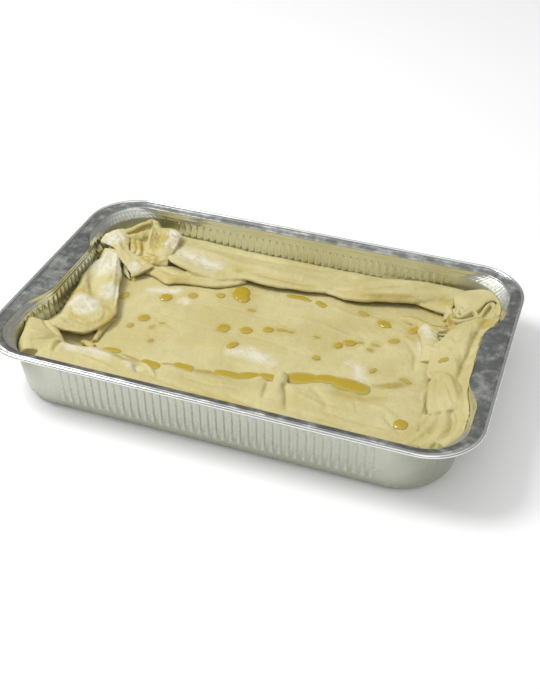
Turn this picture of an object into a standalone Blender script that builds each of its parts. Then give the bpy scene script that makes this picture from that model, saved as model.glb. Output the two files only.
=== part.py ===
"""Greens pie, ready for the oven, in the foil tray that it is baked in.

The tray is pressed from one sheet of foil: corrugated walls, a plain shoulder, a flat
flange that widens into a grip at each short end, and a rolled edge. The pie is a solid
block of filling under a flat sheet of dough, with the overhang of the bottom sheet folded
in over it all round, and bunched up at the corners. Metres, +Z up, base at z = 0.
"""
import bmesh
import bpy
from math import ceil, copysign, cos, exp, pi, sin
from mathutils import Vector

# Tray, outside sizes
RIM_LENGTH = 0.320
RIM_WIDTH = 0.208
TRAY_HEIGHT = 0.0444
RIM_RADIUS = 0.0358
BEAD_RADIUS = 0.0013
FOIL = 0.0006              # thicker than real foil
WALL_LENGTH = 0.2872       # across the walls, at the top of the bottom fillet
WALL_WIDTH = 0.1878
WALL_RADIUS = 0.036
BOTTOM_FILLET = 0.0083
DRAFT_X = 0.14             # how far each wall leans out for each unit of height
DRAFT_Y = 0.06
FLUTE_BOTTOM = 0.0098
FLUTE_TOP = 0.0350
SHOULDER_BOTTOM = 0.0362
FLANGE_Z = TRAY_HEIGHT - BEAD_RADIUS
FLANGE_DROP = 0.0006       # the flange falls a little towards its inner edge
INNER_EDGE_LENGTH = 0.3010
INNER_EDGE_WIDTH = 0.1914
INNER_EDGE_RADIUS = 0.027
FLUTE_PITCH = 0.00515
FLUTE_DEPTH = 0.0012
FLUTED_LONG = 0.206        # the fluted stretch of a long wall
FLUTED_SHORT = 0.113
FLANGE_BOW = 0.0092        # how far the flange's inner edge bows in at each grip
WALL_BOW = 0.0054          # and the short wall under it
GRIP_FLAT = 0.024          # half the straight stretch of a grip
GRIP_END = 0.050

# Points round each loop of the tray
LONG_STEPS = 16
SHORT_STEPS = 12
CORNER_STEPS = 6
FILLET_STEPS = 3
BEAD_STEPS = 7             # eighths of a turn; the last one is under the flange

# Pie
GAP = 0.0003
WALL_CLEARANCE = 0.0011    # from the mean line of the fluted wall to the dough
DOUGH_SHEET = 0.0026
SHEET_EDGE_Z = 0.0175      # the filled block's top at the wall
SHEET_Z = 0.0235           # and in the middle
SHEET_RINGS = (0.0, 0.004, 0.010, 0.020, 0.034, 0.050, 0.070, 0.091)  # in from the wall
SHEET_DIP_WIDTH = 0.014    # the sheet falls to the wall over this width
SHEET_FLAT_FROM = 0.050    # and its waves die out from here to the middle
LEAST_RADIUS = 0.0015      # of a loop's corners
ACROSS = 4                 # spans from the wall side of a fold to its lip
FOLD_STEP = 0.011          # one span along a fold
HANDLES_AT = (0.30, 0.80)  # where a cross section's two handles stand over it
CREST_PER_LIFT = 0.75      # how far it rises when both are lifted by 1

FOIL_COLOUR = (0.62, 0.63, 0.60, 1.0)
SHEET_COLOUR = (0.66, 0.57, 0.32, 1.0)
BORDER_COLOUR = (0.70, 0.61, 0.36, 1.0)


def clear_scene():
    for thing in list(bpy.data.objects):
        bpy.data.objects.remove(thing, do_unlink=True)


def mm(x, y, z):
    """A point given in millimetres."""
    return Vector((x, y, z)) * 0.001


def smooth_step(value, low, high):
    t = min(max((value - low) / (high - low), 0.0), 1.0)
    return t * t * (3.0 - 2.0 * t)


def material(name, colour, roughness, metallic):
    made = bpy.data.materials.new(name)
    made.use_nodes = True
    shader = made.node_tree.nodes["Principled BSDF"]
    shader.inputs["Base Color"].default_value = colour
    shader.inputs["Roughness"].default_value = roughness
    shader.inputs["Metallic"].default_value = metallic
    return made


def add_object(name, bm, look=None):
    """Turn a bmesh into an object with its faces pointing out."""
    bmesh.ops.recalc_face_normals(bm, faces=bm.faces)
    mesh = bpy.data.meshes.new(name)
    bm.to_mesh(mesh)
    bm.free()
    thing = bpy.data.objects.new(name, mesh)
    bpy.context.scene.collection.objects.link(thing)
    if look:
        mesh.materials.append(look)
    return thing


# Loops round the tray: each is a list of (place, point) pairs, where the place runs from
# 0 to 8 over four sides and four corners, so that two loops can be joined point to point.

def grip_fade(y):
    """1 along the straight stretch of a grip, falling to 0 at its ends."""
    return 1.0 - smooth_step(abs(y), GRIP_FLAT, GRIP_END)


def side_points(length, steps, fluted):
    """Fractions along one side, each with its offset in or out."""
    if not fluted:
        return [(step / steps, 0.0) for step in range(steps)]
    halves = 2 * round(fluted / FLUTE_PITCH)
    start = 0.5 - 0.5 * fluted / length
    points = [(0.0, 0.0)]
    for half in range(halves + 1):
        swing = FLUTE_DEPTH / 2 if half % 2 else -FLUTE_DEPTH / 2
        points.append((start + half / halves * fluted / length, swing))
    return points


def tray_loop(half_x, half_y, radius, z, bow=0.0, fluted=False):
    """A rounded rectangle whose short sides bow in, with flutes where they are asked for."""
    loop = []
    flat_x = half_x - radius
    flat_y = half_y - radius
    for quarter in range(4):
        turn = quarter * pi / 2
        out = Vector((cos(turn), sin(turn), 0.0))
        run = Vector((-sin(turn), cos(turn), 0.0))
        short_side = quarter % 2 == 0
        reach = half_x if short_side else half_y
        flat = flat_y if short_side else flat_x
        steps = SHORT_STEPS if short_side else LONG_STEPS
        fluted_run = (FLUTED_SHORT if short_side else FLUTED_LONG) if fluted else 0.0
        for fraction, swing in side_points(2 * flat, steps, fluted_run):
            shift = flat * (2.0 * fraction - 1.0)
            point = out * (reach + swing) + run * shift + Vector((0.0, 0.0, z))
            if short_side:
                point -= out * bow * grip_fade(point.y)
            loop.append((2 * quarter + fraction, point))
        centre = out * (reach - radius) + run * flat + Vector((0.0, 0.0, z))
        for step in range(CORNER_STEPS):
            angle = step / CORNER_STEPS * pi / 2
            point = centre + radius * (cos(angle) * out + sin(angle) * run)
            point.x -= copysign(bow * grip_fade(point.y), point.x)
            loop.append((2 * quarter + 1 + step / CORNER_STEPS, point))
    return loop


def wall_loop(z, grow=0.0, fluted=False):
    """A loop on the leaning wall, or beside it by `grow`."""
    rise = z - BOTTOM_FILLET
    half_x = WALL_LENGTH / 2 + DRAFT_X * max(rise, 0.0) + grow
    half_y = WALL_WIDTH / 2 + DRAFT_Y * max(rise, 0.0) + grow
    return tray_loop(half_x, half_y, WALL_RADIUS + grow, z, WALL_BOW, fluted)


def add_loop(bm, loop):
    return [(place, bm.verts.new(point)) for place, point in loop]


def join_loops(bm, lower, upper):
    """Fill the band between two closed loops, whatever their point counts."""
    i = 0
    j = 0
    while i < len(lower) or j < len(upper):
        a = lower[i % len(lower)][1]
        b = upper[j % len(upper)][1]
        next_a = lower[(i + 1) % len(lower)]
        next_b = upper[(j + 1) % len(upper)]
        place_a = next_a[0] if i + 1 < len(lower) else 8.0 + next_a[0]
        place_b = next_b[0] if j + 1 < len(upper) else 8.0 + next_b[0]
        go_a = i < len(lower) and (j >= len(upper) or place_a <= place_b + 1e-6)
        go_b = j < len(upper) and (i >= len(lower) or place_b <= place_a + 1e-6)
        if go_a:
            bm.faces.new((a, next_a[1], b))
            a = next_a[1]
        if go_b:
            bm.faces.new((a, next_b[1], b))
        i += go_a
        j += go_b


def loft(loops, closed=False):
    """A skin over a stack of loops, with flat ends or, if closed, back to the first."""
    bm = bmesh.new()
    made = [add_loop(bm, loop) for loop in loops]
    for lower, upper in zip(made, made[1:]):
        join_loops(bm, lower, upper)
    if closed:
        join_loops(bm, made[-1], made[0])
    else:
        bm.faces.new([vert for _, vert in made[0]])
        bm.faces.new([vert for _, vert in made[-1]])
    return bm


# Foil tray

def fillet_loops(floor, inset):
    """The rounded bottom edge, `floor` above the base and `inset` from the outer wall."""
    loops = []
    for step in range(FILLET_STEPS + 1):
        angle = step / FILLET_STEPS * pi / 2
        radius = BOTTOM_FILLET - floor
        z = BOTTOM_FILLET - radius * cos(angle)
        loops.append(wall_loop(z, -inset - radius * (1.0 - sin(angle))))
    return loops


def wall_loops(inset):
    """Fillet, fluted wall and shoulder, from the bottom up."""
    loops = fillet_loops(inset, inset)
    loops.append(wall_loop(FLUTE_BOTTOM, -inset, fluted=True))
    loops.append(wall_loop(FLUTE_TOP, -inset, fluted=True))
    loops.append(wall_loop(SHOULDER_BOTTOM, -inset))
    return loops


def bead_loops():
    """The rolled edge, from the flange's top round the outside to its underside."""
    centre_z = TRAY_HEIGHT - BEAD_RADIUS
    loops = []
    for step in range(BEAD_STEPS + 1):
        angle = pi - step * pi / 4
        grow = BEAD_RADIUS * (cos(angle) - 1.0)
        z = centre_z + BEAD_RADIUS * sin(angle)
        half_x = RIM_LENGTH / 2 + grow
        half_y = RIM_WIDTH / 2 + grow
        loops.append(tray_loop(half_x, half_y, RIM_RADIUS + grow, z))
    return loops


def flange_edge(z, grow=0.0):
    """The loop where the shoulder turns into the flange."""
    half_x = INNER_EDGE_LENGTH / 2 + grow
    half_y = INNER_EDGE_WIDTH / 2 + grow
    return tray_loop(half_x, half_y, INNER_EDGE_RADIUS + grow, z, FLANGE_BOW)


def make_foil_tray():
    inner_top = FLANGE_Z - FLANGE_DROP
    inside = wall_loops(FOIL)
    inside.append(flange_edge(inner_top - FOIL, -FOIL / 2))
    inside.append(flange_edge(inner_top))
    outside = wall_loops(0.0)
    outside.append(flange_edge(inner_top - FOIL, FOIL))
    loops = inside + bead_loops() + outside[::-1]
    look = material("foil", FOIL_COLOUR, 0.35, 0.9)
    return add_object("foil_tray", loft(loops), look)


# Filled block under the top sheet

def sheet_height(point):
    """The top sheet's own height: nearly flat, low at the walls, with slow waves."""
    x = point.x * 1000
    y = point.y * 1000
    wave = 0.5 * sin(x / 23.0 + 0.6) * cos(y / 17.0) + 0.3 * sin(x / 11.0 - y / 19.0)
    pit = 3.5 * exp(-((x + 108) / 11) ** 2 - ((y + 56) / 8) ** 2)
    return (wave - pit) * 0.001


def block_loops(lift=0.0):
    """Loops of the block's top, from the wall inwards. The last one is flat."""
    loops = []
    for inset in SHEET_RINGS:
        dip = 1.0 - smooth_step(inset, 0.0, SHEET_DIP_WIDTH)
        wavy = 1.0 - smooth_step(inset, SHEET_FLAT_FROM, SHEET_RINGS[-1])
        z = SHEET_Z - (SHEET_Z - SHEET_EDGE_Z) * dip + lift
        half_x = WALL_LENGTH / 2 + DRAFT_X * (SHEET_EDGE_Z - BOTTOM_FILLET) - FOIL
        half_y = WALL_WIDTH / 2 + DRAFT_Y * (SHEET_EDGE_Z - BOTTOM_FILLET) - FOIL
        inner = inset + WALL_CLEARANCE
        radius = max(WALL_RADIUS - inner, LEAST_RADIUS)
        loop = tray_loop(half_x - inner, half_y - inner, radius, z, WALL_BOW * dip)
        for _, point in loop:
            point.z += sheet_height(point) * (1.0 - dip) * wavy
        loops.append(loop)
    return loops


def make_filled_block():
    """The filling and its dough, one solid down to the tray's floor."""
    loops = fillet_loops(FOIL + GAP, FOIL + WALL_CLEARANCE)
    look = material("top sheet", SHEET_COLOUR, 0.55, 0.0)
    return add_object("filled_pie", loft(loops + block_loops()), look)


# Folded border

def along(values, u):
    """A smooth curve through points or numbers, at u from 0 to 1."""
    spot = u * (len(values) - 1)
    i = min(int(spot), len(values) - 2)
    t = spot - i
    before = values[max(i - 1, 0)]
    first = values[i]
    second = values[i + 1]
    after = values[min(i + 2, len(values) - 1)]
    return 0.5 * (2 * first + (second - before) * t
                  + (2 * before - 5 * first + 4 * second - after) * t ** 2
                  + (3 * first - 3 * second + after - before) * t ** 3)


def cross_line(outer, inner, crest, u, across):
    """Points from the wall side to the lip, raised by the crest between them."""
    start = along(outer, u)
    end = along(inner, u)
    lift = mm(0.0, 0.0, along(crest, u) / CREST_PER_LIFT)
    near = start.lerp(end, HANDLES_AT[0]) + lift
    far = start.lerp(end, HANDLES_AT[1]) + lift
    line = []
    for step in range(across + 1):
        t = step / across
        line.append(start * (1 - t) ** 3 + near * 3 * t * (1 - t) ** 2
                    + far * 3 * t ** 2 * (1 - t) + end * t ** 3)
    return line


def bump_height(point, bumps):
    """Height added by round bumps, each (x, y, radius, height) in millimetres."""
    total = 0.0
    for x, y, radius, height in bumps:
        reach = (point.x * 1000 - x) ** 2 + (point.y * 1000 - y) ** 2
        total += height * exp(-reach / radius ** 2)
    return mm(0.0, 0.0, total)


def fold(name, outer, inner, crest=(0.0, 0.0), thickness=DOUGH_SHEET, across=ACROSS,
         step=FOLD_STEP, bumps=()):
    """A sheet of dough between a guide at the wall and a guide along its lip."""
    outer = [mm(*point) for point in outer]
    inner = [mm(*point) for point in inner]
    run = max(sum((b - a).length for a, b in zip(guide, guide[1:])) for guide in (outer, inner))
    count = max(2, ceil(run / step))
    lines = [cross_line(outer, inner, crest, k / count, across) for k in range(count + 1)]
    for line in lines:
        for point in line:
            point += bump_height(point, bumps)
    bm = bmesh.new()
    sections = []
    for k, line in enumerate(lines):
        ahead = lines[min(k + 1, count)]
        behind = lines[max(k - 1, 0)]
        top = []
        under = []
        for v, point in enumerate(line):
            slope = line[min(v + 1, across)] - line[max(v - 1, 0)]
            normal = slope.cross(behind[v] - ahead[v]).normalized() * (thickness / 2)
            top.append(bm.verts.new(point + normal))
            under.append(bm.verts.new(point - normal))
        nose = bm.verts.new(line[-1] + (line[-1] - line[-2]).normalized() * DOUGH_SHEET / 2)
        sections.append(top + [nose] + under[::-1])
    for first, second in zip(sections, sections[1:]):
        for v in range(len(first)):
            w = (v + 1) % len(first)
            bm.faces.new((first[v], first[w], second[w], second[v]))
    bm.faces.new(sections[0])
    bm.faces.new(sections[-1])
    return add_object(name, bm)


def wall_roll():
    """The dough turned in all round the wall, under every fold. Its underside is cut off."""
    section = ((0.0, 0.016), (0.0, 0.0215), (0.004, 0.0245), (0.012, 0.0255), (0.012, 0.016))
    loops = []
    for inset, z in section:
        half_x = WALL_LENGTH / 2 + DRAFT_X * (z - BOTTOM_FILLET) - FOIL - WALL_CLEARANCE - inset
        half_y = WALL_WIDTH / 2 + DRAFT_Y * (z - BOTTOM_FILLET) - FOIL - WALL_CLEARANCE - inset
        radius = WALL_RADIUS - WALL_CLEARANCE - inset
        loops.append(tray_loop(half_x, half_y, radius, z, WALL_BOW))
    return add_object("wall roll", loft(loops, closed=True))


def back_folds():
    return [
        fold("back fold",
             [(-102, 93, 22), (-60, 93, 22), (-20, 93, 20.5), (20, 93, 22), (52, 93, 22)],
             [(-92, 53, 29), (-80, 46, 28.5), (-63, 42, 27.5), (-47, 43, 27), (-34, 46.5, 27.5),
              (-22, 51, 28.5), (-9, 52.5, 27), (7, 53.5, 26.5), (26, 56.5, 26), (43, 65, 24)],
             [2.0, 3.0, 3.5, 2.5, 1.0]),
        fold("lower tongue",
             [(-100, 58, 27), (-77, 56, 27), (-52, 51, 26.5), (-30, 56, 24)],
             [(-106, 38, 25), (-95, 35, 25), (-83, 29, 25), (-76, 34, 25), (-63, 35.5, 25),
              (-50, 37, 25.5), (-40, 42, 26), (-30, 50, 25)],
             [1.5, 2.5, 2.0, 0.5]),
        fold("right back fold",
             [(40, 91, 20), (62, 90, 23), (80, 92, 23.5), (100, 92, 24.5), (120, 89, 27)],
             [(22, 60, 23), (31, 56, 26), (41, 53, 26), (54, 54, 26), (66, 58, 26), (77, 61, 26.5),
              (88, 64, 27.5), (97, 68, 28), (105, 70, 28.5), (115, 70.5, 29)],
             [0.0, 4.0, 5.5, 5.0, 3.0]),
        fold("tucked tip",
             [(91, 74, 26), (103, 76, 26.5), (114, 74, 27)],
             [(90, 67, 26), (103, 62.5, 25.5), (116, 57, 25.5)],
             [0.5, 1.0, 0.5]),
        fold("raised sheet corner",
             [(118, 44, 22), (115, 32, 22), (112, 18, 22), (114, 6, 22)],
             [(90, 46, 21.5), (94, 35, 21.5), (98, 25, 21.5), (104, 16, 21.5), (111, 6, 21.5)],
             [2.5, 6.0, 6.5, 3.5]),
    ]


def back_left_bunch():
    creases = [(-116, 62, 9, -6.5), (-104, 76, 7, -5.0), (-109, 70, 5, 2.0), (-126, 84, 7, 3.0),
               (-94, 74, 5, 3.0), (-129, 64, 6, 2.5), (-98, 60, 5, 1.5), (-140, 60, 6, -2.0)]
    return [
        fold("bunch",
             [(-143, 47, 29), (-144, 62, 30), (-138, 79, 31), (-124, 89, 33), (-108, 91, 31),
              (-95, 92, 27)],
             [(-126, 45, 29), (-118, 42, 29), (-109, 43, 28), (-101, 48, 28), (-95, 55, 28.5),
              (-91, 64, 28)],
             [4.0, 6.0, 6.5, 6.0, 4.0], thickness=0.006, across=9, step=0.007, bumps=creases),
        fold("bunch skirt",
             [(-137, 50, 31), (-122, 50, 31), (-108, 49, 30), (-95, 56, 30)],
             [(-131, 44, 28), (-117, 34, 27), (-109, 25, 26), (-103, 36, 26), (-96, 47, 28)],
             [1.0, 1.5, 1.0]),
    ]


def left_flap():
    hollow_and_lobe = [(-123, 2, 9, -2.0), (-127, -20, 8, 2.0), (-112, -2, 7, 1.0)]
    return [
        fold("left flap",
             [(-139, 46, 31), (-138, 34, 31), (-140, 18, 29), (-139.5, 0, 27.5), (-138, -20, 26.5),
              (-133, -39, 26.5)],
             [(-127, 45, 31), (-118, 38, 29), (-113.5, 27, 28), (-107, 13, 27.5), (-103, -2, 27),
              (-99.5, -15, 26.5), (-98.5, -26, 26), (-101, -35, 26), (-108, -43, 26.5)],
             [1.0, 1.5, 2.5, 3.5, 2.0], across=7, bumps=hollow_and_lobe),
    ]


def front_folds():
    dents = [(32, -52, 5, 1.5), (40, -58, 4, -2.0), (-52, -66, 4, -1.8), (-46, -68, 4, 1.2)]
    return [
        fold("front left flap",
             [(-145, -51, 33), (-144.5, -63, 32.5), (-139, -75, 32), (-128, -86, 30.5),
              (-110, -92, 27), (-90, -92, 22)],
             [(-127, -45, 32.5), (-122, -54, 31), (-119.5, -60, 29.5), (-116, -65, 27.5),
              (-106, -63, 26), (-90, -58, 22)],
             [1.5, 3.0, 3.5, 2.5, 0.5]),
        fold("front fold",
             [(-125, -89, 24), (-60, -92, 24), (0, -92, 24), (60, -92, 24), (128, -88, 24)],
             [(-118, -62, 25), (-100, -58, 25.5), (-79, -55, 25), (-62, -56, 25), (-50, -58, 25),
              (-35, -55, 25), (-20, -54, 25), (-5, -52, 25), (8, -50, 25), (20, -46, 25),
              (30, -42, 25), (40, -40, 25), (55, -36, 25), (70, -35, 25), (86, -36, 25),
              (97, -28, 25), (108, -24, 24.5), (122, -24, 24)],
             [3.0, 2.5, 3.0, 2.5, 2.0], bumps=dents),
    ]


def right_folds():
    pleats = [2.0, 4.5, 1.5, 4.5, 1.5, 4.5, 1.5, 3.5, 1.5]
    return [
        fold("right fold",
             [(143, 60, 36), (141.5, 46, 38), (139.7, 30, 39), (139.3, 10, 39.5),
              (139.3, -10, 39), (139.5, -22, 35)],
             [(130, 50, 30), (122, 42, 28.5), (118, 33, 27.5), (111.5, 24, 26.5),
              (110, 12.5, 26), (109, 0, 26), (110, -9, 26), (115, -16, 25)],
             [1.0, 1.5, 2.0, 2.0, 1.0]),
        fold("right lobe",
             [(138, -12, 34), (139, -24, 33.5), (141.5, -34, 33), (143.5, -47, 31)],
             [(117, -12, 25), (114, -24, 26), (116.5, -34, 26), (120, -47, 26.5)],
             [1.5, 4.0, 4.5, 2.5]),
        fold("corner pleats",
             [(142.5, -44, 31), (145, -58, 31), (143, -71, 30), (134, -83, 29), (117, -91, 26)],
             [(128, -46, 29), (121.5, -52, 27), (117.5, -57, 26), (112, -61, 25),
              (103, -66, 24.5)],
             pleats, step=0.0055),
        fold("corner dome",
             [(117, 91, 28), (130, 89, 29), (140, 80, 31), (144, 68, 33), (143, 54, 35)],
             [(117, 72, 28.5), (123, 70, 29), (128, 66, 29), (133, 60, 30), (131, 48, 30)],
             [3.0, 4.0, 4.0, 3.5, 2.0], bumps=[(137, 70, 3.5, -4.0), (133, 63, 3, 1.5)]),
        fold("corner loop",
             [(113, 59, 26), (119, 58.5, 26), (124, 61, 27), (129, 62, 28), (131, 59, 28),
              (128, 55.5, 27), (121, 53, 26), (115, 52, 25)],
             [(113, 59, 30.5), (119, 58.5, 31), (124, 61, 32), (129, 62, 33), (131, 59, 32.5),
              (128, 55.5, 31), (121, 53, 30), (115, 52, 29)],
             across=2, step=0.004),
    ]


def solid_copy(thing):
    """The object's mesh with its modifiers applied."""
    graph = bpy.context.evaluated_depsgraph_get()
    return bpy.data.meshes.new_from_object(thing.evaluated_get(graph))


def boolean(thing, operation, other):
    """Apply one Boolean with an object or a collection, then remove what it used.

    The folds cross at shallow angles, where the exact solver leaves open edges.
    """
    modifier = thing.modifiers.new(operation.title(), 'BOOLEAN')
    modifier.operation = operation
    modifier.solver = 'MANIFOLD'
    if isinstance(other, bpy.types.Collection):
        modifier.operand_type = 'COLLECTION'
        modifier.collection = other
        used = list(other.objects)
    else:
        modifier.object = other
        used = [other]
    mesh = solid_copy(thing)
    thing.modifiers.clear()
    thing.data = mesh
    for piece in used:
        bpy.data.objects.remove(piece, do_unlink=True)


def keep_outer_shell(thing):
    """Drop loose scraps and the skins of hollows that fusing has sealed."""
    bm = bmesh.new()
    bm.from_mesh(thing.data)
    left = set(bm.faces)
    shells = []
    while left:
        shell = {left.pop()}
        edge_of_growth = list(shell)
        while edge_of_growth:
            face = edge_of_growth.pop()
            for edge in face.edges:
                for near in edge.link_faces:
                    if near in left:
                        left.remove(near)
                        shell.add(near)
                        edge_of_growth.append(near)
        shells.append(shell)
    largest = max(shells, key=len)
    scraps = [face for shell in shells if shell is not largest for face in shell]
    bmesh.ops.delete(bm, geom=scraps, context='FACES')
    bm.to_mesh(thing.data)
    bm.free()


def room_in_tray():
    """The space that the border may fill: above the block and inside the walls."""
    inset = -FOIL - WALL_CLEARANCE
    loops = [flange_edge(TRAY_HEIGHT, inset), flange_edge(FLANGE_Z - FLANGE_DROP, inset)]
    loops.append(wall_loop(SHOULDER_BOTTOM, inset))
    return add_object("room", loft(loops + block_loops(lift=GAP)))


def make_folded_border():
    border = wall_roll()
    pieces = bpy.data.collections.new("folds")
    bpy.context.scene.collection.children.link(pieces)
    for piece in back_folds() + back_left_bunch() + left_flap() + front_folds() + right_folds():
        bpy.context.scene.collection.objects.unlink(piece)
        pieces.objects.link(piece)
    boolean(border, 'UNION', pieces)
    boolean(border, 'INTERSECT', room_in_tray())
    keep_outer_shell(border)
    border.name = "folded_border"
    border.data.name = "folded_border"
    border.data.materials.clear()
    border.data.materials.append(material("folded dough", BORDER_COLOUR, 0.55, 0.0))
    return border


clear_scene()
make_foil_tray()
make_filled_block()
make_folded_border()
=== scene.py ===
"""Greens pie, raw, in the foil tray that it is baked in: the looks of every surface.

The sections follow the pie as it is put together: the tray, the filled block with its top
sheet, the border folded in over it side by side, the oil, then the stage. The flour is in
the look of the dough.
"""
from math import ceil, cos, pi, radians, sin

import bpy
import numpy as np
from mathutils import Matrix, Vector, noise


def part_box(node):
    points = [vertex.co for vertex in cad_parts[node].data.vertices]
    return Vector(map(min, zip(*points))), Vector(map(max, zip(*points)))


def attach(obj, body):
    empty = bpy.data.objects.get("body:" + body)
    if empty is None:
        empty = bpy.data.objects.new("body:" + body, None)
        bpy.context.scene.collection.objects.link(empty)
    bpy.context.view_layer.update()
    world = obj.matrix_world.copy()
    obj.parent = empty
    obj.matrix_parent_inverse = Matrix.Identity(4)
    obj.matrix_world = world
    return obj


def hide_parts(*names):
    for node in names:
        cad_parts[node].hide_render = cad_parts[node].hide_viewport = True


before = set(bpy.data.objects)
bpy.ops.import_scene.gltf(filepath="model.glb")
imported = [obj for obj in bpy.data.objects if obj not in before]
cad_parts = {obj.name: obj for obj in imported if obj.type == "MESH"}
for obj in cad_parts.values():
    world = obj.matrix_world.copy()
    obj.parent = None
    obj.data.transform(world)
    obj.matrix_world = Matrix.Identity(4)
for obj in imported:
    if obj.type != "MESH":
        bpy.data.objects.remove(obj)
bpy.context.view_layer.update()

MM = 0.001


# ------------------------------------------------------------------ the foil tray
# One sheet of thin aluminium, pressed between ribbed dies: a flat base, fluted walls, a
# shoulder with fine steps, a flat flange that widens into a grip at each short end, and an
# edge rolled under into a bead. Water and flour have dried on it in cloudy marks.

tray_low, tray_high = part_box("foil_tray")
RIM_LENGTH = tray_high.x - tray_low.x
RIM_WIDTH = tray_high.y - tray_low.y
TRAY_HEIGHT = tray_high.z
RIM_RADIUS = 0.0358
BEAD_RADIUS = 0.0013
BEAD_STEPS = 5.3            # steps of the bead's mesh in half a turn
FOIL = 0.0004
WALL = {"half_x": 0.1436, "half_y": 0.0939, "radius": 0.036, "bow": 0.0054}
FLANGE_EDGE = {"half_x": 0.1505, "half_y": 0.0957, "radius": 0.027, "bow": 0.0092}
BOTTOM_FILLET = 0.0083
DRAFT_X = 0.14
DRAFT_Y = 0.06
WALL_HEIGHTS = (0.0098, 0.0106, 0.0116, 0.0180, 0.0240, 0.0300, 0.0338, 0.0350, 0.0354)
SHOULDER_BOTTOM = 0.0362
SHOULDER_GAP = 0.0007       # from the shoulder's top up to the flange
SHOULDER_RIBS = 2
SHOULDER_RIB_DEPTH = 0.00012
MEAN_REACH = 0.12           # of the wall from the tray's middle
FLANGE_Z = TRAY_HEIGHT - BEAD_RADIUS
FLANGE_DROP = 0.0007
FLANGE_SHARES = (0.0, 0.08, 0.2, 0.4, 0.55, 0.64, 0.70, 0.75, 0.80, 0.85, 0.90, 0.95, 1.0)
LINES_FROM = 0.64           # share of the flange's width where its lines start
LINE_SPACING = 0.09
LINE_HEIGHT = 0.00028
GRIP_FLAT = 0.024
GRIP_END = 0.050
FLUTE_PITCH = 0.00515
FLUTE_DEPTH = 0.0012
FLUTED_HALF = {"long": 0.103, "short": 0.0565}
FLUTE_START = (0.0098, 0.0120)      # heights over which the flutes come in,
FLUTE_END = (0.0342, 0.0354)        # and over which they run out
FLUTE_BLEND = 0.0006
CRINKLE_START = (0.012, 0.034)
CRINKLE_END = (0.0400, 0.0425)
CRINKLE_PITCH = 0.0032
CRINKLE_DEPTH = 0.0003
STATION = 0.00062           # between two points along a fluted side
CORNER_STATION = 0.0008


def smooth(value, low, high):
    t = np.clip((value - low) / (high - low), 0.0, 1.0)
    return t * t * (3.0 - 2.0 * t)


def stations():
    """Where the columns of the tray's mesh stand: quarter turn, corner or side, share of it."""
    found = []
    for quarter in range(4):
        side = 2 * (WALL["half_y" if quarter % 2 == 0 else "half_x"] - WALL["radius"])
        count = round(side / STATION)
        found += [(quarter, 0.0, step / count) for step in range(count)]
        count = round(WALL["radius"] * pi / 2 / CORNER_STATION)
        found += [(quarter, 1.0, step / count) for step in range(count)]
    return np.array(found).T


QUARTER, IN_CORNER, SHARE = stations()


def ring(half_x, half_y, radius, bow):
    """A rounded rectangle through the stations, with its short sides bowed in at the grips."""
    out = np.stack([np.cos(QUARTER * pi / 2), np.sin(QUARTER * pi / 2)], 1)
    run = np.stack([-out[:, 1], out[:, 0]], 1)
    short = QUARTER % 2 == 0
    reach = np.where(short, half_x, half_y)
    flat = np.where(short, half_y, half_x) - radius
    angle = SHARE * pi / 2
    side = out * reach[:, None] + run * (flat * (2 * SHARE - 1))[:, None]
    turned = np.cos(angle)[:, None] * out + np.sin(angle)[:, None] * run
    corner = out * (reach - radius)[:, None] + run * flat[:, None] + radius * turned
    at = np.where(IN_CORNER[:, None] > 0, corner, side)
    fade = 1.0 - smooth(np.abs(at[:, 1]), GRIP_FLAT, GRIP_END)
    at[:, 0] -= np.sign(at[:, 0]) * bow * fade
    return at


def wall_ring(z, grow=0.0):
    rise = max(z - BOTTOM_FILLET, 0.0)
    return ring(WALL["half_x"] + DRAFT_X * rise + grow, WALL["half_y"] + DRAFT_Y * rise + grow,
                WALL["radius"] + grow, WALL["bow"])


def edge_ring(grow=0.0):
    return ring(FLANGE_EDGE["half_x"] + grow, FLANGE_EDGE["half_y"] + grow,
                FLANGE_EDGE["radius"] + grow, FLANGE_EDGE["bow"])


def rim_ring(grow):
    return ring(RIM_LENGTH / 2 + grow, RIM_WIDTH / 2 + grow, RIM_RADIUS + grow, 0.0)


def wall_rows(inset):
    """Rows of one face of the wall, from the base up to the flange: (plan, height) pairs."""
    rows = []
    for step in range(5):
        angle = step / 4 * pi / 2
        radius = BOTTOM_FILLET - inset
        z = BOTTOM_FILLET - radius * cos(angle)
        rows.append((wall_ring(z, -inset - radius * (1.0 - sin(angle))), z))
    for z in WALL_HEIGHTS:
        rows.append((wall_ring(z, -inset), z))
    low = wall_ring(SHOULDER_BOTTOM, -inset)
    high = edge_ring(FOIL - inset)
    top = FLANGE_Z - FLANGE_DROP - SHOULDER_GAP
    for step in range(9):
        share = step / 8
        rib = SHOULDER_RIB_DEPTH * sin(share * SHOULDER_RIBS * 2 * pi)
        plan = low * (1 - share) + high * share
        rows.append((plan * (1.0 + rib / MEAN_REACH), SHOULDER_BOTTOM + (top - SHOULDER_BOTTOM) * share))
    return rows


def flange_rows():
    """The flange's upper face, from its inner edge out to the bead, with fine parallel lines."""
    inner = edge_ring()
    outer = rim_ring(-2 * BEAD_RADIUS)
    rows = []
    for share in FLANGE_SHARES:
        line = 0.0
        if share > LINES_FROM:
            line = LINE_HEIGHT * sin((share - LINES_FROM) / LINE_SPACING * pi)
        sink = FLANGE_DROP * (1.0 - share) ** 2
        rows.append((inner * (1 - share) + outer * share, FLANGE_Z - sink + line))
    return rows


def bead_rows():
    rows = []
    for step in range(9):
        angle = pi - (step + 0.5) * pi / BEAD_STEPS
        rows.append((rim_ring(BEAD_RADIUS * (cos(angle) - 1.0)), FLANGE_Z + BEAD_RADIUS * sin(angle)))
    return rows


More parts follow.
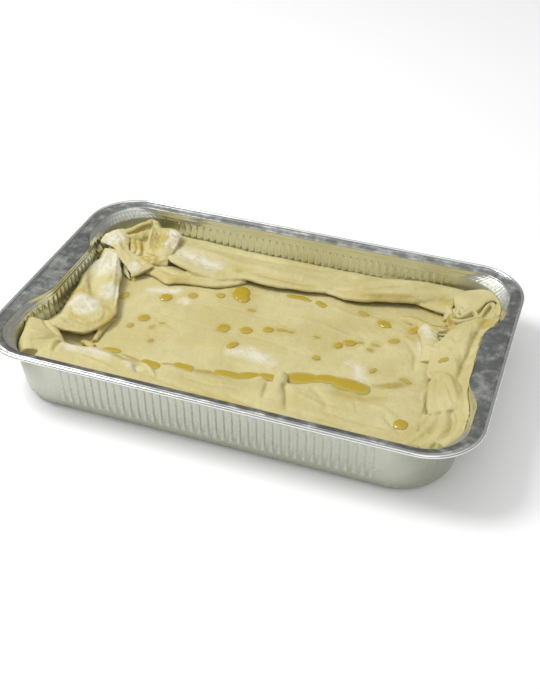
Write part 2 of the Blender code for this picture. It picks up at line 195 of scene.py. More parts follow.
def under_rows():
    inner = edge_ring(FOIL)
    outer = rim_ring(-2.2 * BEAD_RADIUS)
    return [(outer, FLANGE_Z - FOIL), (inner, FLANGE_Z - FLANGE_DROP - FOIL)]


def mesh_object(name, points, faces):
    mesh = bpy.data.meshes.new(name)
    mesh.from_pydata([tuple(point) for point in points], [], faces)
    mesh.update()
    thing = bpy.data.objects.new(name, mesh)
    bpy.context.scene.collection.objects.link(thing)
    return thing


def attribute(thing, name, values, kind='FLOAT'):
    """Store one value for each vertex, for a material or a modifier to read."""
    made = thing.data.attributes.new(name, kind, 'POINT')
    made.data.foreach_set("vector" if kind == 'FLOAT_VECTOR' else "value", np.ravel(values))


def tube_faces(rings, around):
    """Faces between closed rings of points, in order, and a cap on each end."""
    faces = []
    for first in range(0, (rings - 1) * around, around):
        after = first + around
        for v in range(around):
            w = (v + 1) % around
            faces.append((first + v, first + w, after + w, after + v))
    faces.append(tuple(range(around))[::-1])
    faces.append(tuple(range((rings - 1) * around, rings * around)))
    return faces


def pressed_sheet():
    """The plain tray, with what the ribs and the look need to know stored at each point."""
    outside = wall_rows(0.0)
    inside = wall_rows(FOIL)
    flange = flange_rows()
    below_flange = outside + under_rows()[::-1] + bead_rows()[::-1]
    rows = below_flange + flange[::-1] + inside[::-1]
    count = len(QUARTER)
    repeat = len(rows)
    points = np.concatenate([np.column_stack([plan, np.full(count, z)]) for plan, z in rows])
    tray = mesh_object("tray_foil", points, tube_faces(repeat, count))
    short = np.tile(QUARTER % 2 == 0, repeat)
    corner = np.tile(IN_CORNER, repeat)
    turn = np.tile(QUARTER + IN_CORNER * SHARE, repeat) * pi / 2
    outward = np.stack([np.cos(turn), np.sin(turn), np.zeros_like(turn)], 1)
    along = np.where(short, points[:, 1], points[:, 0])
    half = np.where(short, FLUTED_HALF["short"], FLUTED_HALF["long"])
    z = points[:, 2]
    high = smooth(z, *FLUTE_START) * (1.0 - smooth(z, *FLUTE_END))
    run = 1.0 - smooth(np.abs(along), half - FLUTE_BLEND, half + FLUTE_BLEND)
    bend = np.sin(np.tile(SHARE, repeat) * pi) ** 0.5 * corner
    row_of = np.repeat(np.arange(repeat), count)
    on_flange = (row_of >= len(below_flange)) & (row_of < len(below_flange) + len(flange))
    attribute(tray, "outward", outward, 'FLOAT_VECTOR')
    attribute(tray, "along", along)
    attribute(tray, "rib", high * run * (1.0 - corner))
    attribute(tray, "arc", np.tile(SHARE * pi / 2, repeat) * WALL["radius"])
    attribute(tray, "crinkle", bend * smooth(z, *CRINKLE_START) * (1.0 - smooth(z, *CRINKLE_END)))
    attribute(tray, "flange", on_flange.astype(float))
    attribute(tray, "outside", (row_of < len(outside)).astype(float))
    return tray


class Wire:
    """An output socket. Arithmetic on it adds the Math nodes to its tree."""

    def __init__(self, tree, socket):
        self.tree = tree
        self.socket = socket

    def math(self, operation, *values):
        return put(self.tree, "ShaderNodeMath", {"operation": operation}, dict(enumerate(values)))

    def __add__(self, other):
        return self.math('ADD', self, other)

    def __radd__(self, other):
        return self.math('ADD', other, self)

    def __sub__(self, other):
        return self.math('SUBTRACT', self, other)

    def __rsub__(self, other):
        return self.math('SUBTRACT', other, self)

    def __mul__(self, other):
        return self.math('MULTIPLY', self, other)

    def __rmul__(self, other):
        return self.math('MULTIPLY', other, self)

    def __truediv__(self, other):
        return self.math('DIVIDE', self, other)

    def cosine(self):
        return self.math('COSINE', self)

    def larger(self, other):
        return self.math('MAXIMUM', self, other)

    def between(self, low, high):
        """0 below the low value, 1 above the high one, and smooth in between."""
        return put(self.tree, "ShaderNodeMapRange", {"interpolation_type": 'SMOOTHSTEP'},
                   {"Value": self, "From Min": low, "From Max": high})


def put(tree, kind, settings=None, values=None, out=0):
    """Add a node: its settings first, then the values or the links of its sockets."""
    node = tree.nodes.new(kind)
    for name, value in (settings or {}).items():
        setattr(node, name, value)
    for name, value in (values or {}).items():
        if isinstance(value, Wire):
            tree.links.new(value.socket, node.inputs[name])
        else:
            node.inputs[name].default_value = value
    return Wire(tree, node.outputs[out])


def geometry_tree(name, sizes):
    """A new Geometry Nodes tree, with its incoming geometry and a named input for each size."""
    tree = bpy.data.node_groups.new(name, 'GeometryNodeTree')
    tree.interface.new_socket("Geometry", in_out='INPUT', socket_type='NodeSocketGeometry')
    tree.interface.new_socket("Geometry", in_out='OUTPUT', socket_type='NodeSocketGeometry')
    for size, value in sizes.items():
        kind = 'NodeSocketMaterial' if isinstance(value, bpy.types.Material) else 'NodeSocketFloat'
        if isinstance(value, bpy.types.Object):
            kind = 'NodeSocketObject'
        tree.interface.new_socket(size, in_out='INPUT', socket_type=kind)
    group_in = tree.nodes.new('NodeGroupInput')
    return tree, {socket.name: Wire(tree, socket) for socket in group_in.outputs if socket.name}


def close_tree(tree, geometry, look):
    """End the tree in Realize Instances and Set Material."""
    whole = put(tree, 'GeometryNodeRealizeInstances', values={"Geometry": geometry})
    named = put(tree, 'GeometryNodeSetMaterial', values={"Geometry": whole, "Material": look})
    end = tree.nodes.new('NodeGroupOutput')
    tree.links.new(named.socket, end.inputs["Geometry"])


def keep_result(thing):
    """Keep what the object's modifiers make of it as its plain mesh."""
    graph = bpy.context.evaluated_depsgraph_get()
    mesh = bpy.data.meshes.new_from_object(thing.evaluated_get(graph))
    thing.modifiers.clear()
    thing.data = mesh


def apply_tree(thing, tree, sizes):
    """Run the tree on the object and keep the result as its plain mesh."""
    modifier = thing.modifiers.new(tree.name, 'NODES')
    modifier.node_group = tree
    for item in tree.interface.items_tree:
        if item.in_out == 'INPUT' and item.name in sizes:
            modifier[item.identifier] = sizes[item.name]
    keep_result(thing)


def named(tree, name, kind='FLOAT'):
    return put(tree, 'GeometryNodeInputNamedAttribute', {"data_type": kind}, {"Name": name})


def rib_tree(sizes):
    """Push each point out and in along the wall's outward direction, as the die does."""
    tree, size = geometry_tree("Press ribs", sizes)
    swing = (named(tree, "along") / size["Flute pitch"] * (2 * pi)).cosine()
    flute = swing * named(tree, "rib") * size["Flute depth"] * 0.5
    ruffle = (named(tree, "arc") / size["Crinkle pitch"] * (2 * pi)).cosine()
    crinkle = ruffle * named(tree, "crinkle") * size["Crinkle depth"] * 0.5
    push = put(tree, 'ShaderNodeVectorMath', {"operation": 'SCALE'},
               {0: named(tree, "outward", 'FLOAT_VECTOR'), "Scale": flute + crinkle})
    moved = put(tree, 'GeometryNodeSetPosition', values={"Geometry": size["Geometry"], "Offset": push})
    close_tree(tree, moved, size["Foil"])
    return tree


def new_look(name, **constants):
    """A material with a Principled shader, and its constant sockets set on the shader."""
    look = bpy.data.materials.new(name)
    look.use_nodes = True
    tree = look.node_tree
    shader = tree.nodes["Principled BSDF"]
    for socket, value in constants.items():
        shader.inputs[socket.replace("_", " ")].default_value = value
    return look, tree, shader


def feed(tree, shader, **wires):
    for socket, wire in wires.items():
        tree.links.new(wire.socket, shader.inputs[socket.replace("_", " ")])


def mix(tree, share, first, second):
    """Two colours, or the colours of two wires, mixed."""
    return put(tree, "ShaderNodeMix", {"data_type": 'RGBA'}, {0: share, 6: first, 7: second}, out=2)


def clouds(tree, size, detail, roughness=0.5, stretch=(1.0, 1.0, 1.0)):
    """Noise over the object, with features of about the given size in metres."""
    at = put(tree, "ShaderNodeTexCoord", out=3)
    scale = tuple(value / size for value in stretch)
    moved = put(tree, "ShaderNodeMapping", values={"Vector": at, "Scale": scale})
    return put(tree, "ShaderNodeTexNoise", values={"Vector": moved, "Scale": 1.0,
               "Detail": detail, "Roughness": roughness})


def painted(tree, name):
    """A value stored at each point of the piece."""
    return put(tree, "ShaderNodeAttribute", {"attribute_name": name}, out=2)


def bump(tree, height, distance, strength):
    values = {"Height": height, "Distance": distance, "Strength": strength}
    return put(tree, "ShaderNodeBump", values=values)


def foil_look():
    """Bright foil with dried marks, rougher outside, in its crinkled corners and on the flange; painted
    shade darkens it outside and in those corners, and the flange has a painted dark reflection.
    """
    look, tree, shader = new_look("foil", Metallic=1.0)
    bright = (0.76, 0.775, 0.745, 1.0)
    # painted shade: the outside of the wall is coloured darker and greener than the inside
    shaded = (0.48, 0.495, 0.415, 1.0)
    # painted shade: the crinkled corners of the wall are coloured darker
    corner_shade = (0.44, 0.45, 0.38, 1.0)
    # painted reflection: the flange is coloured dark grey, for the dim room it faces
    flat = (0.27, 0.28, 0.265, 1.0)
    dried = (0.72, 0.73, 0.69, 1.0)
    flange = painted(tree, "flange")
    crinkle = painted(tree, "crinkle")
    outside = painted(tree, "outside")
    stain = clouds(tree, 0.008, 6.0, 0.62)
    scratches = clouds(tree, 0.0030, 5.0, 0.65, (0.6, 1.0, 1.0))
    fine = clouds(tree, 0.0030, 4.0, 0.6)
    dull = (stain * 0.75 + scratches * 0.25).between(0.42, 0.66)
    # The wall's colour carries painted shade outside and in the crinkled corners.
    wall = mix(tree, crinkle * 0.75, mix(tree, outside, bright, shaded), corner_shade)
    # The flange takes its painted dark reflection here.
    clean = mix(tree, flange, wall, flat)
    feed(tree, shader, Base_Color=mix(tree, dull * (0.05 + 0.65 * flange), clean, dried))
    rough = 0.14 + 0.08 * outside + 0.10 * fine + 0.08 * dull + 0.15 * flange + 0.38 * crinkle
    feed(tree, shader, Roughness=rough)
    dents = clouds(tree, 0.007, 3.0)
    drawn = clouds(tree, 0.0016, 2.0, 0.5, (1.0, 1.0, 0.05)) * crinkle
    feed(tree, shader, Normal=bump(tree, dents + fine * 0.25 + drawn * 1.6, 0.00050, 0.5))
    return look


foil = foil_look()
tray = pressed_sheet()
rib_sizes = {"Flute pitch": FLUTE_PITCH, "Flute depth": FLUTE_DEPTH,
             "Crinkle pitch": CRINKLE_PITCH, "Crinkle depth": CRINKLE_DEPTH, "Foil": foil}
apply_tree(tray, rib_tree(rib_sizes), rib_sizes)
tray.data.shade_smooth()
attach(tray, "root")
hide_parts("foil_tray")


# ------------------------------------------------------ the filled block and its sheet
# The bottom sheet of dough, the greens and a flat top sheet of dough, which is all that
# shows of them: nearly level, with slow waves, a few long creases, and a hollow where oil
# has gathered in the front left corner.

SHEET_Z = 0.0235
SHEET_EDGE_Z = 0.0175
SHEET_DIP_WIDTH = 0.014
SHEET_CELL = 0.0010
STROKE_STEPS = 8            # of a stroke's curve between two of its points
WALL_CLEARANCE = 0.0011
BLOCK_INSET = 0.0009        # of the block's rounded foot from the tray's
FOOT_STEPS = 4


def sheet_waves(x, y):
    """Height of the top sheet over its mean level, from places in metres."""
    x = x * 1000
    y = y * 1000
    wave = 0.5 * np.sin(x / 23.0 + 0.6) * np.cos(y / 17.0) + 0.3 * np.sin(x / 11.0 - y / 19.0)
    pit = 3.5 * np.exp(-((x + 108) / 11) ** 2 - ((y + 56) / 8) ** 2)
    pit += 2.5 * np.exp(-((x + 114) / 9) ** 2 - ((y + 51) / 7) ** 2)
    return (wave - pit) * MM


def spline(points, count):
    """`count` + 1 points on a smooth curve through the given ones, evenly shared out."""
    points = np.asarray(points, float)
    spot = np.linspace(0.0, len(points) - 1.0, count + 1)
    low = np.minimum(spot.astype(int), len(points) - 2)
    t = (spot - low)[:, None]
    before = points[np.maximum(low - 1, 0)]
    first = points[low]
    second = points[low + 1]
    after = points[np.minimum(low + 2, len(points) - 1)]
    return 0.5 * (2 * first + (second - before) * t
                  + (2 * before - 5 * first + 4 * second - after) * t ** 2
                  + (3 * first - 3 * second + after - before) * t ** 3)


def relief(x, y, strokes):
    """Height from strokes, in metres. Each is (points, half width, height), in mm.

    A stroke fades at its ends. A positive height is a ridge, and a negative one a crease.
    """
    total = np.zeros_like(x)
    for points, width, height in strokes:
        line = spline(points, STROKE_STEPS * (len(points) - 1)) * MM
        best = np.full(x.shape, 1e9)
        fade = np.zeros_like(x)
        for k, (a, b) in enumerate(zip(line, line[1:])):
            run = b - a
            t = np.clip(((x - a[0]) * run[0] + (y - a[1]) * run[1]) / (run @ run), 0.0, 1.0)
            away = (x - a[0] - t * run[0]) ** 2 + (y - a[1] - t * run[1]) ** 2
            closer = away < best
            best = np.where(closer, away, best)
            fade = np.where(closer, (k + t) / (len(line) - 1), fade)
        taper = np.clip(4 * fade * (1 - fade), 0.0, 1.0) ** 0.5
        total += height * MM * taper * np.exp(-best / (width * MM) ** 2)
    return total


def lumps(points, size, seed):
    """Smooth noise from -1 to 1, with features of the given size in metres."""
    shift = Vector((seed * 7.31, seed * 3.17, seed * 5.73))
    return np.array([noise.noise(Vector(point) / size + shift) for point in points])


SHEET_CREASES = [
    ([(-92, 8), (-60, 15), (-30, 20), (0, 17), (30, 20)], 1.4, -0.5),
    ([(-75, -2), (-40, -6), (-5, -6), (30, -12), (62, -14)], 1.2, -0.45),
    ([(0, 24), (30, 24), (56, 17), (84, 16)], 1.6, 0.6),
    ([(60, 44), (78, 34), (92, 33)], 2.5, 0.8),
    ([(30, 48), (55, 40), (75, 42), (92, 36)], 2.0, 0.7),
    ([(-20, -34), (10, -36), (40, -26), (66, -30)], 2.0, 0.5),
    ([(92, 26), (101, 12), (104, -4)], 1.6, -1.4),
    ([(88, 32), (97, 22), (101, 8)], 2.2, 0.9),
]


def sheet_height(x, y):
    return sheet_waves(x, y) + relief(x, y, SHEET_CREASES)


def widest_at(y, half_x, half_y, radius, bow):
    """Half the tray's width in x at each y, round its corners and along its bowed sides."""
    past = np.clip(np.abs(y) - (half_y - radius), 0.0, radius)
    fade = 1.0 - smooth(np.abs(y), GRIP_FLAT, GRIP_END)
    return half_x - radius + np.sqrt(radius ** 2 - past ** 2) - bow * fade


def inset_of(x, y, half_x, half_y, radius, bow):
    """How far in from the wall a place is."""
    straight = np.minimum(widest_at(y, half_x, half_y, radius, bow) - np.abs(x), half_y - np.abs(y))
    past_x = np.abs(x) - (half_x - radius)
    past_y = np.abs(y) - (half_y - radius)
    corner = (past_x > 0) & (past_y > 0)
    return np.where(corner, radius - np.hypot(past_x, past_y), straight)


BLOCK_RISE = SHEET_EDGE_Z - BOTTOM_FILLET
BLOCK = (WALL["half_x"] + DRAFT_X * BLOCK_RISE - WALL_CLEARANCE - FOIL,
         WALL["half_y"] + DRAFT_Y * BLOCK_RISE - WALL_CLEARANCE - FOIL,
         WALL["radius"] - WALL_CLEARANCE, WALL["bow"])


def block_top(x, y):
    """Height of the filled block under its sheet's fine wrinkles."""
    dip = 1.0 - smooth(inset_of(x, y, *BLOCK), 0.0, SHEET_DIP_WIDTH)
    return SHEET_Z - (SHEET_Z - SHEET_EDGE_Z) * dip + sheet_height(x, y) * (1.0 - dip)


def grid_faces(columns, rows):
    faces = []
    for j in range(rows - 1):
        for i in range(columns - 1):
            a = j * columns + i
            faces.append((a, a + 1, a + columns + 1, a + columns))
    return faces


def filled_block():
    columns = ceil(2 * WALL["half_x"] / SHEET_CELL)
    rows = ceil(2 * WALL["half_y"] / SHEET_CELL)
    u, v = np.meshgrid(np.linspace(-1, 1, columns), np.linspace(-1, 1, rows))
    y = v.ravel() * BLOCK[1]
    x = u.ravel() * widest_at(y, *BLOCK)
    top = np.stack([x, y, block_top(x, y)], 1)
    top[:, 2] += 0.00030 * lumps(top, 0.011, 1) + 0.00016 * lumps(top, 0.0045, 2)
    grid = np.arange(rows * columns).reshape(rows, columns)
    border = list(grid[0, :-1]) + list(grid[:-1, -1]) + list(grid[-1, :0:-1]) + list(grid[:0:-1, 0])
    levels = []
    points = [top]
    radius = BOTTOM_FILLET - BLOCK_INSET
    for step in range(FOOT_STEPS + 1):
        angle = step / FOOT_STEPS * pi / 2
        pull = radius * (1.0 - cos(angle)) + DRAFT_X * BLOCK_RISE
        edge = top[border].copy()
        length = np.hypot(edge[:, 0], edge[:, 1])[:, None]
        edge[:, :2] *= 1.0 - pull / length
        edge[:, 2] = BOTTOM_FILLET - radius * sin(angle)
        start = sum(map(len, points))
        levels.append(list(range(start, start + len(border))))
        points.append(edge)
    faces = grid_faces(columns, rows)
    for upper, lower in zip([border] + levels, levels):
        for k in range(len(border)):
            n = (k + 1) % len(border)
            faces.append((int(lower[k]), int(lower[n]), int(upper[n]), int(upper[k])))
    faces.append(tuple(levels[-1])[::-1])
    return mesh_object("pie_top_sheet", np.concatenate(points), faces)


def dough_look(name):
    """Raw dough: pale, a little mottled, darker and glossier where oil has soaked in."""
    look, tree, shader = new_look(name, IOR=1.45, Subsurface_Weight=0.12,
                                  Subsurface_Radius=(0.9, 0.6, 0.25), Subsurface_Scale=0.0025)
    oil = painted(tree, "oil")
    flour = painted(tree, "flour")
    wide = clouds(tree, 0.034, 2.0).between(0.36, 0.66)
    patch = clouds(tree, 0.009, 4.0, 0.6).between(0.38, 0.68)
    grain = clouds(tree, 0.0011, 3.0, 0.65)
    base = mix(tree, wide, (0.540, 0.465, 0.192, 1.0), (0.610, 0.545, 0.266, 1.0))
    base = mix(tree, patch * 0.45, base, (0.520, 0.455, 0.235, 1.0))
    base = mix(tree, grain.between(0.60, 0.78) * 0.30, base, (0.82, 0.77, 0.60, 1.0))
    # In the hollow at the front left corner the soaked colour is partly painted shade.
    soaked = mix(tree, oil * 0.80, base, (0.500, 0.385, 0.095, 1.0))
    speck = clouds(tree, 0.0016, 4.0, 0.7)
    drift = clouds(tree, 0.0075, 4.0, 0.65)
    dust = flour * (drift * 1.6 + speck * 1.2 - 0.85).between(0.0, 0.8)
    feed(tree, shader, Base_Color=mix(tree, dust * 0.72, soaked, (0.76, 0.745, 0.67, 1.0)))
    rough = 0.46 + 0.14 * grain - 0.24 * oil
    feed(tree, shader, Roughness=rough + dust * 0.35)
    wrinkle = clouds(tree, 0.0042, 5.0, 0.62)
    height = wrinkle + grain * 0.22 + dust * 0.15
    feed(tree, shader, Normal=bump(tree, height, 0.0011, 0.75))
    return look


BLOT_RIM = 0.35


def blot(x, y, spots):
    """1 inside each of the round spots (x, y, radius in mm), fading over their rims."""
    total = np.zeros_like(x)
    for cx, cy, radius in spots:
        away = np.hypot(x * 1000 - cx, y * 1000 - cy) / radius
        total = np.maximum(total, 1.0 - smooth(away, 1.0 - BLOT_RIM, 1.0 + BLOT_RIM))
    return total


def streak(x, y, lines):
    """1 along each of the lines (points, half width in mm), fading sideways."""
    total = np.zeros_like(x)
    for points, width in lines:
        total = np.maximum(total, relief(x, y, [(points, width, 1000.0)]))
    return np.clip(total, 0.0, 1.0)


SHEET_FLOUR = [([(-18, -27), (-5, -24), (8, -26), (20, -30)], 6.0),
               ([(-8, -21), (2, -20)], 3.5),
               ([(60, -9), (68, -14), (74, -22), (76, -33)], 4.5),
               ([(-68, 14), (-64, 19), (-60, 12)], 2.5),
               ([(101, 28), (104, 20), (105, 12)], 3.0),
               ([(-95, 20), (-80, 24), (-70, 30)], 3.5)]

sheet = filled_block()
sheet_points = np.array([vertex.co for vertex in sheet.data.vertices])
attribute(sheet, "flour", streak(sheet_points[:, 0], sheet_points[:, 1], SHEET_FLOUR))
sheet.data.materials.append(dough_look("top dough"))
sheet.data.shade_smooth()
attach(sheet, "root")
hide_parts("filled_pie")


# ------------------------------------------------------------ the folded border
# The bottom sheet hangs over the tray's wall before it is folded in. Each side is its own
# run of folds, about 2.5 mm thick, pressed down at the wall and loose at the lip.

DOUGH_SHEET = 0.0026
HANDLES_AT = (0.30, 0.80)
CREST_PER_LIFT = 0.75
FOLD_CELL = 0.0011
RIBBON_CELL = 0.0008
SOLID_TO = (0.85, 1.1)      # shares of the way to the lip over which a fold leaves the sheet
LIP_EDGE = 0.12             # square of the lip's share of the full thickness at its end
LIP_NOSE = 0.0005           # how far the lip's round end reaches past its guide
FOLD_SINK = 0.0004          # how far a fold is let into the sheet
DOUGH_GAP = 0.0003          # between the dough and the foil
BOW_HEIGHTS = (0.0355, 0.0425)      # heights over which the wall's bow grows to the flange's


def fold_grid(outer, inner, crest, count, across):
    """Points of a fold's middle, from the guide at the wall to the guide along its lip."""
    start = spline(outer, count) * MM
    end = spline(inner, count) * MM
    lift = np.zeros_like(start)
    lift[:, 2] = spline(np.array(crest, float)[:, None], count)[:, 0] * MM / CREST_PER_LIFT
    near = start + (end - start) * HANDLES_AT[0] + lift
    far = start + (end - start) * HANDLES_AT[1] + lift
    t = np.linspace(0.0, 1.0, across + 1)[None, :, None]
    return (start[:, None] * (1 - t) ** 3 + near[:, None] * 3 * t * (1 - t) ** 2
            + far[:, None] * 3 * t ** 2 * (1 - t) + end[:, None] * t ** 3)


def shell(middle, thickness, loose, hang=(0.0, 1.0)):
    """Points and faces of one closed layer of dough round a grid of its middle.

    It is solid down to the sheet, but for its loose lip and for what hangs past its ends.
    """
    count = middle.shape[0] - 1
    across = middle.shape[1] - 1
    slope = np.gradient(middle, axis=1)
    normal = np.cross(slope, -np.gradient(middle, axis=0))
    normal /= np.maximum(np.linalg.norm(normal, axis=2, keepdims=True), 1e-12)
    if normal[..., 2].mean() < 0.0:
        normal = -normal
    steps = np.linalg.norm(np.diff(middle, axis=1), axis=2).mean(axis=0)
    from_lip = np.append(np.cumsum(steps[::-1])[::-1], 0.0)
    round_lip = np.sqrt(np.clip(1.0 - (1.0 - from_lip / (thickness * 0.5)).clip(0, 1) ** 2, LIP_EDGE, 1))
    half = thickness / 2 * round_lip[None, :, None]
    top = middle + normal * half
    under = middle - normal * half
    share = np.linspace(0.0, 1.0, across + 1)[None, :]
    along = np.linspace(0.0, 1.0, count + 1)[:, None]
    held = (along >= hang[0]) & (along <= hang[1])
    solid = (1.0 - smooth(share, SOLID_TO[0] - loose, SOLID_TO[1] - loose)) * held
    deep = np.minimum(under[..., 2], block_top(under[..., 0], under[..., 1]) - FOLD_SINK)
    under[..., 2] = under[..., 2] * (1 - solid) + deep * solid
    forward = slope[:, -1] / np.maximum(np.linalg.norm(slope[:, -1], axis=1, keepdims=True), 1e-9)
    nose = middle[:, -1] + forward * LIP_NOSE
    section = np.concatenate([top, nose[:, None], under[:, ::-1]], 1)
    return section.reshape(-1, 3), tube_faces(*section.shape[:2])


def guide_length(guide):
    return np.linalg.norm(np.diff(np.array(guide, float), axis=0), axis=1).sum() * MM


def fold(outer, inner, crest, loose=0.45):
    """A layer between a guide at the wall and a guide along its lip, arched by its crest."""
    count = max(3, ceil(max(guide_length(outer), guide_length(inner)) / FOLD_CELL))
    reach = np.linalg.norm(spline(outer, 8) - spline(inner, 8), axis=1).max() * MM
    across = max(4, ceil(reach * 1.1 / FOLD_CELL))
    return shell(fold_grid(outer, inner, crest, count, across), DOUGH_SHEET, loose)


def drape(rows, thickness=DOUGH_SHEET, loose=0.35, hang=(0.0, 1.0)):
    """A layer through several guides, from the one at the wall to the one along its lip."""
    count = max(3, ceil(max(guide_length(row) for row in rows) / FOLD_CELL))
    lines = np.stack([spline(row, count) for row in rows])
    reach = np.linalg.norm(np.diff(lines, axis=0), axis=2).sum(axis=0).max() * MM
    across = max(6, ceil(reach / FOLD_CELL))
    middle = np.stack([spline(lines[:, k], across) for k in range(count + 1)]) * MM
    return shell(middle, thickness, loose, hang)


def ribbon(path, depth, thickness):
    """A strip of dough standing on edge along a path of its top, `depth` mm high."""
    count = ceil(guide_length(path) / RIBBON_CELL)
    line = spline(path, count) * MM
    ahead = np.gradient(line[:, :2], axis=0)
    ahead /= np.maximum(np.linalg.norm(ahead, axis=1, keepdims=True), 1e-9)
    side = np.column_stack([-ahead[:, 1], ahead[:, 0], np.zeros(len(line))])
    points = []
    for sink, width in ((depth * MM, 0.5), (0.0011, 0.5), (0.0004, 0.36), (0.0, 0.12)):
        for sign in (1, -1):
            place = line + side * (sign * width * thickness)
            place[:, 2] -= sink
            points.append(place)
    order = [0, 2, 4, 6, 7, 5, 3, 1]
    section = np.stack([points[k] for k in order], 1)
    return section.reshape(-1, 3), tube_faces(*section.shape[:2])


def roll(path, width, drop):
    """A soft tube of dough lying along a path of its crest, solid down to the sheet."""
    line = np.array(path, float)
    ahead = np.gradient(line[:, :2], axis=0)
    side = np.column_stack([-ahead[:, 1], ahead[:, 0]]) / np.linalg.norm(ahead, axis=1)[:, None]
    rows = []
    for share in (-1.0, -0.7, 0.0, 0.7, 1.0):
        row = line.copy()
        row[:, :2] += side * (share * width / 2)
        row[:, 2] -= drop * share ** 2
        rows.append(row)
    return drape(rows, loose=-0.3)


def beside_wall(first, last, inset, z):
    """Guide points, in mm, along the wall from one place (0 to 8 round the tray) to another."""
    plan = wall_ring(z * MM, -inset * MM - FOIL)
    place = 2 * QUARTER + IN_CORNER + SHARE
    places = np.linspace(first, last, max(3, ceil((last - first) * 9)))
    nearest = [np.abs((place - at + 4) % 8 - 4).argmin() for at in places]
    return [(plan[k, 0] * 1000, plan[k, 1] * 1000, z) for k in nearest]


def wall_roll(first, last):
    """The dough turned in at the wall, under the folds of one side."""
    return fold(beside_wall(first, last, 0.6, 21.5), beside_wall(first, last, 11.0, 24.5),
                [1.2, 1.2, 1.2], loose=-0.3)


def fuse(name, parts, cell=0.00075, smoothing=4):
    """One skin round overlapping folds: a voxel remesh, smoothed as soft dough is."""
    points = []
    faces = []
    for part_points, part_faces in parts:
        start = sum(map(len, points))
        points.append(part_points)
        faces += [tuple(index + start for index in face) for face in part_faces]
    thing = mesh_object(name, np.concatenate(points), faces)
    skin = thing.modifiers.new("Skin", 'REMESH')
    skin.mode = 'VOXEL'
    skin.voxel_size = cell
    soft = thing.modifiers.new("Soft", 'SMOOTH')
    soft.factor = 0.5
    soft.iterations = smoothing
    keep_result(thing)
    return thing


WRINKLES = ((0.00030, 0.010), (0.00016, 0.0045), (0.00008, 0.0021))      # height and size
CRUMPLE_HEIGHT = 0.0008
CRUMPLE_SIZE = 0.0065
UPWARD = (-0.1, 0.35)       # upward part of the normal over which the strokes come in


def vertex_arrays(thing):
    count = len(thing.data.vertices)
    points = np.zeros(count * 3)
    thing.data.vertices.foreach_get("co", points)
    normals = np.zeros(count * 3)
    thing.data.vertices.foreach_get("normal", normals)
    return points.reshape(-1, 3), normals.reshape(-1, 3)


def press_into_tray(points):
    """Hold the dough inside the wall, where it takes the print of the flutes."""
    rise = np.clip(points[:, 2], BOTTOM_FILLET, FLANGE_Z) - BOTTOM_FILLET
    half_x = WALL["half_x"] + DRAFT_X * rise
    half_y = WALL["half_y"] + DRAFT_Y * rise
    bow = WALL["bow"] + (FLANGE_EDGE["bow"] - WALL["bow"]) * smooth(points[:, 2], *BOW_HEIGHTS)
    low = 1.0 - smooth(points[:, 2], *FLUTE_END)
    for axis, half, run in ((1, half_y, "long"), (0, half_x, "short")):
        along = points[:, 1 - axis]
        end = FLUTED_HALF[run]
        fluted = low * (1.0 - smooth(np.abs(along), end - FLUTE_BLEND, end + FLUTE_BLEND))
        print_in = FLUTE_DEPTH / 2 * np.cos(along / FLUTE_PITCH * 2 * pi) * fluted
        gap = FOIL + DOUGH_GAP - print_in
        limit = half - gap
        if axis == 0:
            limit = widest_at(points[:, 1], half_x, half_y, WALL["radius"], bow) - gap
        points[:, axis] = np.clip(points[:, axis], -limit, limit)
    return points


def work_dough(thing, strokes, wrinkles=1.0, crumples=0.0, seed=3):
    """Press the strokes, fine wrinkles and sharp crumples into the dough, then the wall's print."""
    points, normals = vertex_arrays(thing)
    upper = smooth(normals[:, 2], *UPWARD)
    push = relief(points[:, 0], points[:, 1], strokes) * upper
    push += wrinkles * sum(height * lumps(points, size, seed + k)
                           for k, (height, size) in enumerate(WRINKLES))
    if crumples:
        sharp = 0.5 - 2.0 * np.abs(lumps(points, CRUMPLE_SIZE, seed + len(WRINKLES)))
        push += CRUMPLE_HEIGHT * crumples * sharp * upper
    points = press_into_tray(points + normals * push[:, None])
    thing.data.vertices.foreach_set("co", points.ravel())
    thing.data.update()


folded_dough = dough_look("folded dough")


def finish_border(thing, oil_spots=(), oil_lines=(), flour_spots=(), flour_lines=()):
    """Paint the oil and the flour on one side of the border, and hand it to the frame."""
    points, _ = vertex_arrays(thing)
    x = points[:, 0]
    y = points[:, 1]
    attribute(thing, "oil", np.maximum(blot(x, y, oil_spots), streak(x, y, oil_lines)))
    attribute(thing, "flour", np.maximum(blot(x, y, flour_spots), streak(x, y, flour_lines)))
    thing.data.materials.clear()
    thing.data.materials.append(folded_dough)
    thing.data.shade_smooth()
    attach(thing, "root")
    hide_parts("folded_border")


# Front: one long fold lying flat, with its lip on the sheet and a finger of dough pulled
# out of it, and the stiff flap turned in at the left corner.

